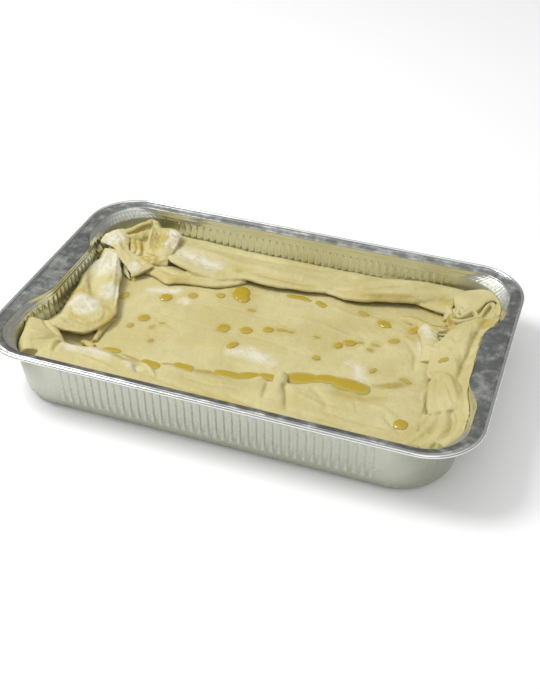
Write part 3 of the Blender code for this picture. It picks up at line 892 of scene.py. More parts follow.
front_folds = [
    wall_roll(5.2, 7.75),
    drape([[(-148.5, -51, 29), (-145, -60, 28.5), (-141.5, -73, 28), (-135.5, -82, 27)],
           [(-146, -51, 33), (-142.5, -60, 33), (-138.5, -72, 32.5), (-133, -80, 31)],
           [(-141, -50.5, 33.5), (-136, -60, 32.8), (-131, -70, 32), (-126, -78, 30.5)],
           [(-136.5, -50.5, 32.5), (-129.5, -58, 31.2), (-124.5, -66, 30.3), (-120, -75, 29.3)],
           [(-132, -49.5, 31), (-123.5, -55.5, 28.8), (-119, -62, 28.2), (-114.5, -72, 28)],
           [(-129, -48, 29), (-121, -54, 27), (-116, -60, 26.5), (-110, -68, 27)]],
          hang=(0.15, 1.0)),
    fold([(-128, -88, 26), (-60, -93, 25), (0, -93, 25), (60, -93, 25), (122, -89, 25)],
         [(-119, -60, 26.5), (-113, -61, 26.5), (-106, -62, 26), (-100, -60.5, 26), (-95, -57.5, 25.5),
          (-88.5, -56.5, 25), (-82, -57.5, 25), (-74, -60, 25), (-66, -60.5, 25), (-58, -62, 24.8),
          (-50, -64.5, 24.5), (-44, -56, 25), (-37, -57, 25), (-30, -58, 25), (-22, -57, 25),
          (-14, -56, 24.8), (-6, -54.5, 24.8), (2, -54.5, 24.8), (9, -52, 24.8), (15, -47, 25),
          (21, -50, 24.8), (27, -48, 25), (34, -47, 24.8), (42, -45, 24.8), (50, -40, 24.8),
          (58, -39.5, 24.8), (66, -42.5, 24.8), (74, -41.5, 24.8), (82, -44, 24.8), (90, -37, 24.8),
          (98, -31.5, 24.8), (107, -26, 24.6), (118, -26, 24)],
         [4.5, 4.0, 3.6, 3.4, 3.2, 3.2, 3.0, 2.6]),
    roll([(26, -37, 25.2), (28, -46, 27.4), (30, -58, 28.6), (33, -74, 28)], 8, 3),
    roll([(10, -66, 27), (40, -72, 28.2), (72, -74, 28.4), (98, -76, 27.5)], 12, 2),
]
FRONT_STROKES = [
    ([(-116, -66), (-98, -65), (-78, -66), (-62, -70)], 2.4, 1.6),
    ([(-112, -70), (-95, -70), (-78, -72)], 1.2, -1.0),
    ([(-107, -63.5), (-98, -61.5), (-90, -59), (-81, -60)], 0.7, 0.7),
    ([(-106, -66), (-96, -64), (-86, -62.5)], 0.8, -0.7),
    ([(-100, -73), (-84, -75), (-70, -78)], 1.2, 0.8),
    ([(-63, -63), (-57, -63), (-50, -69), (-45, -75)], 1.1, 1.5),
    ([(-62, -66), (-59, -70), (-56, -73)], 2.2, -2.8),
    ([(-48, -74), (-38, -76), (-10, -80)], 1.5, -1.2),
    ([(-40, -62), (-22, -63), (0, -61)], 2.4, 1.0),
    ([(-30, -68), (-8, -69), (8, -66)], 1.8, -0.8),
    ([(33, -50), (37, -60), (42, -76)], 2.0, -2.8),
    ([(22, -52), (23, -58), (25, -70)], 1.6, -1.6),
    ([(48, -48), (60, -58), (66, -70)], 2.4, -0.9),
    ([(44, -58), (60, -64), (82, -64)], 2.0, 0.8),
    ([(48, -76), (74, -79), (98, -81)], 1.1, -0.9),
    ([(60, -68), (84, -70), (104, -70)], 1.3, -1.2),
    ([(0, -74), (24, -79), (50, -84)], 1.1, -0.9),
    ([(84, -52), (96, -54), (106, -60)], 2.2, 0.8),
    ([(74, -47), (80, -56), (82, -64)], 1.6, -0.6),
    ([(98, -60), (104, -66), (112, -72)], 1.2, -0.8),
    ([(-117, -60), (-117, -67), (-115, -76)], 0.9, -1.6),
    ([(-119, -62), (-120, -68), (-118, -76)], 1.2, 0.8),
    ([(-136, -50), (-130, -54), (-122, -57)], 1.2, -1.8),
    ([(-122, -58), (-130, -62), (-138, -64)], 1.6, 1.0),
    ([(-121, -60), (-127, -67), (-133, -72)], 1.4, -1.0),
    ([(-120, -62), (-123, -70), (-126, -77)], 1.4, 0.7),
]
front = fuse("border_front", front_folds)
work_dough(front, FRONT_STROKES, seed=5)
# The soaked spot at the front left hollow is partly oil and partly painted shade.
finish_border(front,
              oil_spots=[(-120, -50, 4)],
              oil_lines=[([(60, -47), (80, -48), (96, -42)], 3.0), ([(-94, -58), (-60, -63)], 2.5),
                         ([(-20, -80), (10, -82), (40, -84)], 4.0)],
              flour_lines=[([(-115, -67), (-96, -65), (-78, -66)], 4.5), ([(-70, -66), (-60, -72)], 3.0)])

# Left: one broad flap, floury, with a valley between its two lobes. Its lower end hangs over
# an oily hollow, whose soaked colour is partly painted shade.

left_folds = [
    wall_roll(3.6, 5.3),
    drape([[(-141, 46, 27), (-139, 38, 26.5), (-140.5, 28, 27), (-140, 14, 27), (-137.5, 2, 27),
            (-136.5, -9, 27.5), (-134.5, -21, 27.5), (-132.5, -33, 28), (-134, -43, 28.5), (-139, -49, 30)],
           [(-137.5, 46, 31.8), (-134.5, 37, 31.3), (-136.5, 26, 31.5), (-136, 13, 31.8), (-133, 1, 31.5),
            (-131.5, -10, 31.5), (-129, -22, 31.3), (-127, -32, 30.8), (-128, -42, 30.5), (-132, -50, 31)],
           [(-133, 47, 32.5), (-129.5, 38, 32.3), (-130, 26, 31), (-129.5, 12, 28.9), (-127, -1, 29),
            (-124.5, -12, 30.9), (-121, -24, 31.2), (-119, -33, 30.3), (-120, -43, 29.8),
(-125, -51, 29.5)],
           [(-129, 46, 31.8), (-125, 38, 32.3), (-122.5, 27, 32.8), (-120, 14, 32), (-117, 1, 30.8),
            (-114, -11, 28.8), (-111, -22, 29.6), (-109.5, -31, 29.6), (-110, -41, 28.8),
(-116, -50, 28.5)],
           [(-127, 42, 29.8), (-123, 35, 30), (-117, 28, 30), (-113, 20, 29.5), (-108.5, 6, 29),
            (-102.5, -9, 28.3), (-98.5, -19, 28), (-98.5, -28, 27.8), (-102.5, -40, 27.6),
(-108, -47.5, 27.6)]],
          hang=(0.0, 0.80)),
    roll([(-101, -47, 24), (-101.5, -40, 25), (-101.5, -30, 25), (-99.5, -20, 24)], 2.6, 1.5),
    roll([(-110, -47, 22), (-104, -50, 23.2), (-99, -52, 23)], 3.5, 1.5),
]
LEFT_STROKES = [
    ([(-138, 20), (-131, 8), (-123, -4), (-116, -13)], 2.2, -1.2),
    ([(-130, 42), (-125, 30), (-120, 18)], 1.2, -0.8),
    ([(-134, 40), (-131, 28), (-130, 18)], 1.4, 0.8),
    ([(-126, 40), (-121, 28), (-116, 16), (-112, 2)], 1.0, 0.6),
    ([(-133, -16), (-128, -26), (-121, -36)], 1.5, -0.7),
    ([(-131, 4), (-126, -6), (-122, -16)], 1.3, 0.6),
    ([(-124, -38), (-114, -40), (-106, -38), (-101, -28)], 1.4, -0.8),
    ([(-112, 12), (-107, -2), (-103, -14)], 0.8, -0.8),
    ([(-109, 8), (-104, -6), (-101, -16)], 0.8, 0.6),
    ([(-110, -18), (-106, -24), (-104, -32)], 1.2, 0.6),
    ([(-124, -18), (-118, -22), (-113, -28)], 1.2, -0.5),
    ([(-127, 32), (-122, 30), (-118, 32)], 0.9, -0.6),
    ([(-126, 22), (-121, 20), (-117, 23)], 0.9, -0.6),
    ([(-130, -40), (-122, -46), (-112, -46)], 1.2, 0.5),
]
left = fuse("border_left", left_folds, cell=0.0007, smoothing=3)
work_dough(left, LEFT_STROKES, wrinkles=1.5, crumples=0.35, seed=8)
# The last two soaked lines lie in the hollow under the flap's lower end: partly oil, partly painted shade.
finish_border(left,
              oil_lines=[([(-107, 10), (-102, -5), (-98, -18)], 2.2),
                         ([(-133, -22), (-134.5, -13), (-130.5, -9), (-123, -9)], 2.4),
                         ([(-130, -26), (-124, -33), (-116, -38), (-106, -41)], 2.6),
                         ([(-115, -14), (-106, -18), (-99, -23)], 2.6),
                         ([(-101, -46), (-101, -30), (-99, -20)], 3.0), ([(-110, -47), (-99, -52)], 4.0)],
              flour_spots=[(-126, 30, 15), (-121, -22, 11), (-112, 0, 8)])

# Back left corner: the spare dough of two sides, bunched up. A thin petal hangs over an oily
# hollow, with two narrow folds behind it and a crumpled block beside it.

bunch_folds = [
    wall_roll(2.9, 4.2),
    drape([[(-137, 73, 33.5), (-131, 69.5, 34.3), (-126.5, 62, 33), (-121.5, 51, 31.8),
            (-112, 45.5, 31.2), (-103, 43, 30.6), (-97, 42, 29.5)],
           [(-141.5, 67, 35), (-136, 64, 35.6), (-129.5, 57, 34.5), (-122.5, 47, 32.5),
            (-113.5, 40.5, 31), (-105.5, 36.5, 29.6), (-101.5, 34, 28.2)],
           [(-145, 59, 35), (-139, 56, 35), (-131, 51, 34), (-123.5, 43, 32.4), (-115, 36.5, 30.5),
            (-108, 31, 28.6), (-105.5, 28, 27.3)],
           [(-144, 51, 33.5), (-138.5, 50, 33.8), (-131, 47, 33), (-124.5, 40.5, 31.8),
            (-117, 34.5, 30), (-110, 28.5, 28), (-108.5, 25.5, 27)]],
          thickness=0.0022, loose=1.2),
    fold([(-134, 72, 31), (-124, 78, 31), (-108, 80, 31)],
         [(-123, 50, 30), (-114, 45, 29.5), (-102, 44, 29)],
         [-2.5, -2.6, -1.0], loose=-0.3),
    roll([(-126, 65, 31), (-121.5, 58, 31.2), (-117, 49, 30.8)], 3.0, 1.6),
    roll([(-120, 66, 31), (-116.5, 58, 30.4), (-112.5, 49, 30.6)], 2.2, 1.0),
    roll([(-132, 71, 35), (-127, 75, 36.6), (-123, 81, 37.4), (-119.5, 86, 37.8)], 4.4, 3.5),
    roll([(-129, 66, 33.4), (-123, 69.5, 34.6), (-118, 75, 35.2), (-114, 80, 34.2)], 4.6, 3.5),
    roll([(-121, 88, 36.6), (-116, 87, 36.2), (-111.5, 83, 34)], 5, 4),
    drape([[(-117, 84, 32.6), (-110, 86, 33), (-104, 87, 33), (-98, 86, 32.5), (-93, 82, 30.5)],
           [(-116, 78, 35), (-109.5, 79, 33.6), (-104, 80, 34.4), (-98, 79, 35), (-91.5, 75, 33.3)],
           [(-113, 68, 34.8), (-107.5, 69, 32.4), (-102, 70, 33.6), (-96, 70, 34.8), (-90.5, 66, 32.8)],
           [(-110, 59, 32.8), (-105.5, 58, 30.8), (-100.5, 58, 32.2), (-95.5, 59, 33.6), (-90.5, 58, 31.5)],
           [(-109, 54, 30.4), (-104, 52.5, 30.2), (-99, 52, 30.8), (-94, 52, 31), (-89.5, 53.5, 29.2)]],
          loose=-0.3),
    roll([(-110, 47, 30.2), (-104, 47.5, 31), (-97, 50, 31.2), (-91, 52, 30)], 7, 4),
    drape([[(-122, 42, 26), (-115, 36, 26)], [(-119, 36, 26.5), (-112, 30, 26)],
           [(-116, 30, 25.5), (-108, 24, 25)]], thickness=0.0016, loose=0.6),
    drape([[(-150, 50, 25), (-149, 58, 26)], [(-147.5, 48, 28), (-147, 54, 30)],
           [(-144, 46, 27), (-142, 50, 29)]], loose=0.2),
]
BUNCH_STROKES = [
    ([(-131, 67), (-125, 72), (-121, 78), (-117, 83)], 0.9, -2.0),
    ([(-116, 82), (-113, 72), (-110, 60)], 1.0, 0.8),
    ([(-108, 82), (-106, 72), (-104, 60)], 1.0, -1.0),
    ([(-140, 58), (-132, 54), (-125, 46)], 1.2, 0.7),
    ([(-138, 64), (-131, 59), (-126, 51)], 1.0, -0.6),
    ([(-104, 84), (-100, 76), (-99, 66), (-97, 58)], 0.9, -1.4),
    ([(-101, 82), (-97, 78), (-91, 79)], 0.9, -1.5),
    ([(-99, 75), (-95, 72), (-90, 72)], 0.8, 1.0),
    ([(-99, 70), (-95, 67), (-89, 68)], 0.9, -1.5),
    ([(-98, 62), (-93, 63), (-89, 62)], 0.8, -1.2),
    ([(-112, 78), (-108, 75), (-104, 77)], 0.8, -0.9),
    ([(-111, 70), (-107, 68), (-103, 70)], 0.8, 0.7),
    ([(-108, 63), (-104, 64), (-101, 62)], 0.8, -0.9),
    ([(-118, 50), (-112, 46), (-104, 44)], 0.9, 0.6),
    ([(-110, 41), (-105, 39), (-100, 38)], 0.7, -0.7),
]
bunch = fuse("border_bunch", bunch_folds, cell=0.0006, smoothing=2)
work_dough(bunch, BUNCH_STROKES, wrinkles=1.6, crumples=0.8, seed=11)
finish_border(bunch,
              oil_spots=[(-119, 60, 6), (-105, 70, 6), (-104, 60, 4), (-103, 47, 7)],
              oil_lines=[([(-130, 67), (-123, 73), (-116, 82)], 3.5)],
              flour_spots=[(-138, 58, 9), (-94, 68, 6), (-97, 80, 6), (-110, 34, 5)])

# Back: a long soft roll that reaches out over the sheet at the left, with a tongue below
# it, and a second taller roll at the right.

back_folds = [
    wall_roll(1.7, 3.3),
    fold([(-102, 93, 24), (-60, 93, 23), (-20, 93, 21), (20, 93, 22), (52, 93, 22)],
         [(-94, 55, 30.5), (-87, 49, 30.5), (-77, 45.5, 30), (-63, 42.5, 28.5), (-49, 42.5, 27.5),
          (-42, 46, 27.5),
          (-30, 49.5, 28.5), (-18, 48.5, 28), (-6, 50.5, 27), (8, 53, 26.5), (22, 56, 26), (36, 61, 25)],
         [1.5, 2.5, 3.0, 3.5, 2.5, 1.0]),
    fold([(-104, 50, 24), (-77, 52, 24), (-52, 50, 24), (-30, 54, 24)],
         [(-106, 38, 24.5), (-95, 35, 24.5), (-83, 29.5, 24.5), (-76, 33, 24.5), (-63, 35.5, 24.5),
          (-50, 37, 25), (-40, 42, 25), (-30, 50, 25)],
         [2.0, 2.2, 1.5, 0.5]),
    fold([(40, 91, 22), (62, 91, 24), (80, 92, 25), (100, 92, 26), (120, 89, 28)],
         [(20, 60, 24), (31, 56.5, 26), (41, 53.5, 26.5), (54, 54, 27), (66, 58, 27.5), (77, 61, 27.5),
          (88, 64, 27.5), (97, 67.5, 28), (105, 71, 28.5), (114, 73, 29)],
         [0.0, 4.5, 6.5, 6.0, 3.0]),
    drape([[(84, 74, 25), (96, 78, 25.5), (108, 77, 27), (115, 74, 28)],
           [(87, 69, 27), (98, 71, 27.5), (108, 70, 28), (114, 67.5, 28.5)],
           [(89, 65, 27), (97, 62.5, 27), (104, 61, 27), (113, 59, 27.5)]], loose=0.4),
]
BACK_STROKES = [
    ([(-90, 76), (-70, 72), (-40, 68), (-15, 66)], 3.2, 1.3),
    ([(-84, 60), (-64, 56), (-44, 54)], 2.2, -1.2),
    ([(-84, 51), (-66, 47), (-46, 47)], 1.6, 0.9),
    ([(-42, 62), (-30, 64), (-20, 66)], 2.4, -0.9),
    ([(-30, 57), (-10, 58), (6, 60), (20, 63)], 1.4, -1.8),
    ([(-26, 64), (0, 66), (24, 70)], 2.0, 1.1),
    ([(-30, 52), (-12, 53), (8, 56)], 1.2, 0.7),
    ([(-84, 84), (-30, 82), (20, 84)], 2.5, -1.0),
    ([(28, 63), (44, 62), (58, 65), (76, 72), (90, 80)], 1.4, -2.0),
    ([(36, 58), (54, 59), (72, 63.5), (90, 68)], 1.8, 1.3),
    ([(46, 70), (70, 78), (96, 84)], 2.4, 1.2),
    ([(86, 72), (98, 78), (110, 80)], 1.3, -1.4),
    ([(90, 66), (100, 66), (112, 63)], 0.9, 0.6),
    ([(-98, 46), (-84, 40), (-70, 41), (-50, 43)], 1.2, -0.9),
    ([(-98, 42), (-84, 35), (-70, 38), (-50, 40)], 1.4, 1.0),
]
back = fuse("border_back", back_folds, smoothing=3)
work_dough(back, BACK_STROKES, wrinkles=1.2, seed=14)
finish_border(back,
              oil_spots=[(-38, 56, 3)],
              oil_lines=[([(-25, 55), (0, 56), (20, 58)], 3.0), ([(-100, 40), (-84, 33), (-66, 37)], 3.0),
                         ([(104, 72), (113, 68)], 4.0), ([(34, 57), (60, 58), (88, 66)], 1.6)],
              flour_lines=[([(-90, 66), (-66, 58), (-50, 54)], 9.0)])

# Right: the highest fold, pressed up the wall, a lobe that overhangs the pleats of the front
# corner, and a floury ridge where the top sheet is pushed up against them.

right_folds = [
    wall_roll(7.6, 9.75),
    drape([[(148, 54, 36.8), (146.5, 44, 38), (144, 33, 38.8), (142.5, 20, 39), (142, 7, 38.6),
            (142, -6, 37.4), (142, -18, 36)],
           [(140.5, 53, 34), (138.8, 43, 34), (137, 33, 33.8), (135.5, 21, 33.4), (135, 8, 33.2),
            (134.5, -6, 32.8), (134, -18, 31.8)],
           [(136.5, 51.5, 35), (134, 42, 35.8), (132.5, 31, 36.3), (131, 19, 36.5), (131, 6, 36.2),
            (130, -8, 35), (129.8, -18, 33)],
           [(129, 50.5, 31.8), (125.8, 42, 31.9), (123.3, 31, 32), (121.5, 18, 32), (121, 5, 31.8),
            (120.5, -7, 31), (121, -16, 29.5)],
           [(123.5, 50, 28.6), (119, 43.5, 27.8), (115, 32, 27.2), (112.2, 17, 26.8), (112, 3, 26.6),
            (112.5, -7, 26.6), (115, -14, 26.8)]],
          loose=0.22),
    drape([[(126.5, -10.5, 32), (132.5, -18, 33), (138, -26, 33), (142, -34.5, 32.5), (144, -43, 31)],
           [(123.5, -11.5, 33.8), (128.5, -20, 35), (132.5, -28.5, 35), (136, -37, 34), (138.5, -43, 32)],
           [(120.5, -12.5, 32), (123, -22, 33), (125.5, -32, 33), (128.5, -41, 32.2), (131, -47, 30.8)],
           [(118, -14, 29.5), (117, -24, 30), (118.5, -34, 30), (120.5, -43, 29.5), (123, -50, 28.8)]],
          loose=0.35, hang=(0.0, 0.78)),
    roll([(122, -50, 27.5), (119, -58, 27.5), (113, -68, 27), (106, -78, 26)], 9, 3),
    roll([(127, -48, 28.5), (126, -58, 29), (121, -70, 28.5), (115, -82, 27)], 8, 3),
    roll([(132, -46, 30), (134, -56, 31), (132, -68, 30.5), (124, -80, 29)], 9, 3.5),
    roll([(139, -42, 31.5), (143.5, -52, 32.5), (143, -64, 32), (136, -76, 31)], 10, 4),
    roll([(142, -12, 36), (143, -24, 35), (146, -36, 34.5), (149, -47, 34), (149.5, -57, 33.5),
          (147, -68, 31)], 8, 2),
    drape([[(144, 4, 35), (143, -14, 34.5), (145, -30, 33), (148, -46, 31.5)],
           [(137, 2, 32.5), (136.5, -14, 32.5), (140, -30, 31.5), (144, -46, 30)],
           [(130, 0, 31), (130, -14, 31), (132, -30, 30.5), (136, -46, 29)]], loose=-0.3),
    roll([(119, -22, 26), (116.5, -32, 26.5), (117, -42, 26.5), (120, -50, 26.5)], 9, 3),
    fold([(150, -40, 24), (149, -60, 24), (140, -78, 24), (124, -90, 24)],
         [(128, -46, 24.5), (122, -55, 24.5), (116, -62, 24.5), (106, -66, 24.5)],
         [3.0, 3.0, 2.5, 1.5]),
    roll([(96, 47, 24.5), (103, 37.5, 27), (107.5, 27, 27.6), (110, 17, 26.4), (110.5, 7, 24.5)], 11, 3),
    roll([(82, 50, 24), (91, 47.5, 26.5), (99, 44.5, 27), (107, 41, 27.5), (115, 41.5, 28),
          (120, 47, 28.5)], 6, 3),
]
RIGHT_STROKES = [
    ([(99, 42), (104, 40), (110, 40)], 0.8, 0.9),
    ([(100, 37), (106, 34), (112, 34)], 0.8, 1.1),
    ([(102, 31.5), (107, 29), (113, 29)], 0.8, 1.1),
    ([(104, 26), (109, 24), (113, 24)], 0.8, 1.0),
    ([(106, 20), (110, 18.5), (113, 18)], 0.8, 0.8),
    ([(110.5, 37), (115, 38), (119, 42)], 1.0, -2.0),
    ([(124.5, -49), (122.5, -58), (117.5, -69), (111, -80)], 0.8, -1.2),
    ([(129.5, -47), (130, -57), (127, -69), (120, -81)], 0.8, -1.4),
    ([(135.5, -44), (139, -54), (137.5, -67), (130, -79)], 0.9, -1.4),
    ([(126, -22), (131, -31), (135.5, -40)], 0.9, -0.7),
    ([(121, -26), (124, -36), (127, -44)], 0.8, -0.5),
    ([(122, -16), (123, -26), (128, -36)], 1.6, -1.1),
    ([(117, 38), (123, 26), (129, 12), (133, -4)], 1.8, -1.0),
    ([(115, 22), (121, 12), (128, -2), (133, -14)], 1.6, 0.9),
    ([(130, 46), (131, 34), (132, 20)], 1.2, 0.8),
    *[([(x, y), (x - 4, y - 4), (x - 8, y - 10)], 0.9, height)
      for x, y, height in ((143, 40, -0.8), (143, 28, -0.8), (142, 16, -0.8), (142, 4, -0.7))],
    ([(120, -20), (119.5, -32), (122, -44)], 1.0, 0.6),
    ([(128, -16), (133, -28), (137, -38)], 1.4, 0.7),
    ([(127, 40), (125, 20), (125, 0)], 1.6, -0.5),
    ([(118, 30), (117, 16), (117, 2)], 1.4, 0.5),
    ([(115, -9), (121, -11), (127, -12)], 1.0, -1.8),
]
right = fuse("border_right", right_folds, cell=0.0007, smoothing=3)
work_dough(right, RIGHT_STROKES, wrinkles=1.5, crumples=0.3, seed=17)
finish_border(right, oil_spots=[(140, 46, 6), (106, 42, 3), (118, 43, 3)],
              oil_lines=[([(84, 50), (98, 45.5), (112, 41.5)], 2.4)],
              flour_lines=[([(99, 42), (104, 34), (107, 26)], 3.5)])

# Back right corner: a smooth dome with the end of the sheet folded back and forth beside it,
# standing on edge.

corner_folds = [
    drape([[(112, 82, 27), (118, 87, 29), (126, 89, 31), (134, 89, 32), (142, 87, 32), (147, 82, 32),
            (149.5, 72, 32), (149.5, 60, 32)],
           [(113, 77.5, 31), (119, 80, 32.6), (126, 82, 33.5), (133, 83, 34), (139, 83, 34.4),
            (144, 80, 34.4), (147, 71, 34.2), (147.5, 60, 34)],
           [(114, 72.5, 31.8), (119.5, 73, 33.2), (126, 73.5, 33.8), (132, 74, 34.2),
            (136.5, 78, 34.8), (142, 79, 34.8), (145.2, 70.5, 34.6), (146, 60, 34.2)],
           [(115, 68, 29), (120, 66, 31), (126, 64.5, 31.8), (132, 65, 32), (135, 73, 33.2),
            (141, 76.5, 33.6), (143.6, 70, 33.2), (144.5, 60, 33)]],
          loose=0.1),
    ribbon([(116.5, 68, 32), (118.5, 63.5, 32.6), (119, 59.5, 33), (119, 55.5, 33), (121, 53, 33),
            (124, 56.5, 33), (126.8, 61.8, 33), (129.8, 62.3, 33), (131.6, 59, 33), (130.5, 54.5, 33),
            (126, 51, 32.8), (121.5, 49, 32.4), (117, 50.5, 32), (114.5, 55.5, 31.6)], 6, 0.0028),
    ribbon([(134, 54, 34.5), (135, 60, 35), (136, 66, 35.2), (137.5, 71, 35.3), (139.5, 73, 35.3),
            (141, 71, 35.2), (140.8, 66, 35), (139.6, 60, 34.8), (138, 54, 34.3)], 6, 0.0027),
    drape([[(148, 52, 33.5), (149, 64, 32), (148, 76, 31)],
           [(142, 50, 33.5), (143, 62, 31.5), (142, 74, 30)],
           [(131, 52, 29), (131, 62, 28.5), (131, 72, 28.5)]], loose=0.1),
    roll([(142, 52, 34.5), (143, 60, 34.2), (144, 68, 33.8)], 5, 2),
    roll([(119, 65, 31.5), (122, 60.5, 31.8), (125, 63.5, 31.8), (131, 64.5, 31.5)], 5, 2),
    roll([(104, 68, 26), (110, 66, 28.5), (114, 62, 29), (115, 55, 27.5)], 8, 3.5),
    fold([(114, 70, 25), (124, 70, 26), (134, 70, 26)], [(113, 50, 25), (123, 48, 25.5), (134, 52, 26)],
         [1.0, 1.0, 1.0], loose=-0.3),
]
corner = fuse("border_loops", corner_folds, cell=0.0005, smoothing=1)
work_dough(corner, [([(112, 70), (115, 64), (117, 58)], 0.9, -1.0),
                    ([(120, 84), (130, 87), (140, 84)], 1.4, 0.6)], seed=20)
finish_border(corner, oil_spots=[(139, 49, 5), (115, 52, 4)])


# ------------------------------------------------------------ the oil
# Olive oil, flicked and poured on last. It stands on the dough in low round drops, fills the
# groove behind the front fold and has run into long pools there.

POOL_SHORE = 0.30           # strength of a pool's strokes where it is 0 deep,
POOL_BANK = 0.55            # and how much stronger they are where it is full
POOL_EDGE = -0.25           # share of the full depth at which its mesh ends
POOL_THICKNESS = 0.0012
POOL_RAGGED = 0.05
POOL_RAGGED_SIZE = 0.005
RAY_START = 0.06            # height over a drop from which the dough below it is looked for
RAY_LENGTH = 0.2


def oil_look():
    """Golden oil: darker and stronger where it stands deeper, and thin at its edge."""
    look, tree, shader = new_look("olive oil", Roughness=0.06, IOR=1.47, Coat_Weight=0.35,
                                  Coat_Roughness=0.03)
    depth = painted(tree, "depth")
    tint = mix(tree, depth.between(0.1, 0.9), (0.520, 0.420, 0.110, 1.0), (0.480, 0.340, 0.018, 1.0))
    feed(tree, shader, Base_Color=tint)
    feed(tree, shader, Alpha=0.05 + 0.85 * depth.between(0.0, 0.55))
    return look


def hand_over_oil(thing):
    thing.data.shade_smooth()
    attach(thing, "root")


def oil_pool(name, outline, low, high, cell, height):
    """Oil lying level-topped on the sheet: its strokes set where it stands and how deep."""
    columns = np.arange(low[0], high[0], cell)
    rows = np.arange(low[1], high[1], cell)
    x, y = np.meshgrid(columns * MM, rows * MM)
    x = x.ravel()
    y = y.ravel()
    field = np.zeros_like(x)
    for points, width, strength in outline:
        field = np.maximum(field, relief(x, y, [(points, width, 1000.0 * strength)]))
    field += POOL_RAGGED * lumps(np.stack([x, y, 0 * x], 1), POOL_RAGGED_SIZE, 31)
    depth = np.clip((field - POOL_SHORE) / POOL_BANK, -0.3, 1.0)
    top = block_top(x, y) + height * np.sign(depth) * np.abs(depth) ** 0.7
    under = top - POOL_THICKNESS
    points = np.concatenate([np.stack([x, y, top], 1), np.stack([x, y, under], 1)])
    width = len(columns)
    wet = depth.reshape(len(rows), width) > POOL_EDGE
    keep = wet[:-1, :-1] & wet[1:, :-1] & wet[:-1, 1:] & wet[1:, 1:]
    below = len(x)
    faces = []
    for j, i in zip(*np.nonzero(keep)):
        a = int(j * width + i)
        square = (a, a + 1, a + width + 1, a + width)
        faces.append(square)
        faces.append(tuple(corner + below for corner in square[::-1]))
        around = ((j - 1, i, 0), (j, i + 1, 1), (j + 1, i, 2), (j, i - 1, 3))
        for row, column, side in around:
            inside = 0 <= row < keep.shape[0] and 0 <= column < keep.shape[1]
            if not (inside and keep[row, column]):
                first = square[side]
                second = square[(side + 1) % 4]
                faces.append((first, first + below, second + below, second))
    pool = mesh_object(name, points, faces)
    attribute(pool, "depth", np.tile(np.clip(depth, 0.0, 1.0), 2))
    return pool


FRONT_POOL = [
    ([(-94, -54), (-86, -52.5), (-79, -52.5)], 2.8, 0.9),
    ([(-80, -53), (-70, -56), (-61, -57)], 2.4, 0.5),
    ([(-64, -57), (-56, -58), (-49, -58)], 4.4, 1.0),
    ([(-51, -55), (-46, -53), (-41, -52.5)], 1.7, 0.6),
    ([(-43, -53), (-36, -53), (-28, -53)], 4.2, 1.0),
    ([(-30, -53.5), (-22, -52.5), (-13, -51)], 3.4, 0.55),
    ([(-16, -51), (-6, -50), (4, -49)], 4.2, 0.95),
    ([(0, -49), (7, -46), (14, -43.5)], 4.2, 0.95),
    ([(12, -43.5), (18, -42.5), (25, -42)], 4.0, 0.9),
    ([(22, -43), (24.5, -47), (25, -51)], 2.6, 0.9),
    ([(29, -39), (36, -37.5), (42, -36), (49, -34)], 6.6, 1.0),
    ([(45, -34.5), (54, -32.5), (62, -32.5)], 4.8, 1.0),
    ([(57, -33), (66, -33.5), (75, -34.5), (84, -34.5)], 6.8, 1.0),
    ([(80, -30), (90, -26), (98, -21.5), (106, -18)], 6.0, 0.5),
    ([(-111, -50), (-105, -52)], 3.0, 0.5),
]
BACK_POOL = [([(0, 48.5), (6, 49), (12, 49.5), (20, 48)], 2.4, 0.95),
             ([(22, 49.5), (27, 46.5), (31, 44)], 3.0, 0.9)]

oil = oil_look()
pools = [oil_pool("oil_front_pools", FRONT_POOL, (-118, -68), (114, -10), 0.62, 0.0009),
         oil_pool("oil_back_pools", BACK_POOL, (-6, 38), (38, 56), 0.5, 0.0006)]
for pool in pools:
    pool.data.materials.append(oil)
    hand_over_oil(pool)

# Each drop: place on the sheet, half its length and half its width, its turn in degrees, and
# its height, all in mm.
OIL_DROPS = [
    (-77.5, 16.5, 4.9, 4.3, 60, 0.9), (-60.5, 25, 3.6, 3.2, 0, 0.5), (-42, 31, 3.4, 3.2, 0, 0.6),
    (-29.5, 38.5, 8.3, 6.4, 100, 1.2), (-26, 33, 4.9, 4.6, 0, 1.1), (-16, 22.5, 3.4, 2.2, 10, 0.3),
    (-81.5, -11.5, 4.7, 4.1, 70, 0.8), (-86.5, -23, 2.9, 2.4, 80, 0.5), (-66.5, -34.5, 2.9, 2.3, 80, 0.3),
    (-67, -13.5, 2.4, 1.1, 10, 0.3), (-72, -19.5, 2.9, 2.3, 80, 0.2), (-27, -3, 5, 4.6, 60, 0.9),
    (-11.5, -0.5, 4.5, 3.9, 20, 0.9), (-14, -19.5, 4.9, 2.8, 60, 0.9), (-105, 7.5, 4.9, 3, 80, 0.5),
    (2.5, 4.5, 3.7, 3.3, 20, 0.8), (11, 7, 4.9, 2.1, 10, 0.4), (17.5, 7, 3.4, 1.7, 10, 0.3),
    (35, 8, 3, 1.5, 0, 0.3), (51, 5, 3.8, 2.8, 70, 0.9), (57.5, 10.5, 4.7, 3.4, 20, 1),
    (63.5, 13, 3.4, 1.4, 10, 0.4), (74, 38, 5.5, 3.9, -15, 0.9), (57.5, 45.5, 4.7, 2.5, -15, 0.5),
    (84.5, 22.5, 4, 2.8, 20, 0.6), (72, 7.5, 3.2, 2, -10, 0.3), (74, 14, 3.8, 1.6, 0, 0.3),
    (41.5, -13, 3, 2.6, 0, 0.6), (79.5, -13.5, 3.6, 2, 55, 0.6), (94, 37.5, 4.5, 2.9, 75, 0.9),
    (109.5, -64, 4.8, 4.4, 60, 1), (101.5, -16, 4.7, 2.5, -15, 0.5), (121, 1, 3.6, 3.2, 10, 0.5),
    (110.5, 43.5, 5.6, 3, -20, 0.7),
]


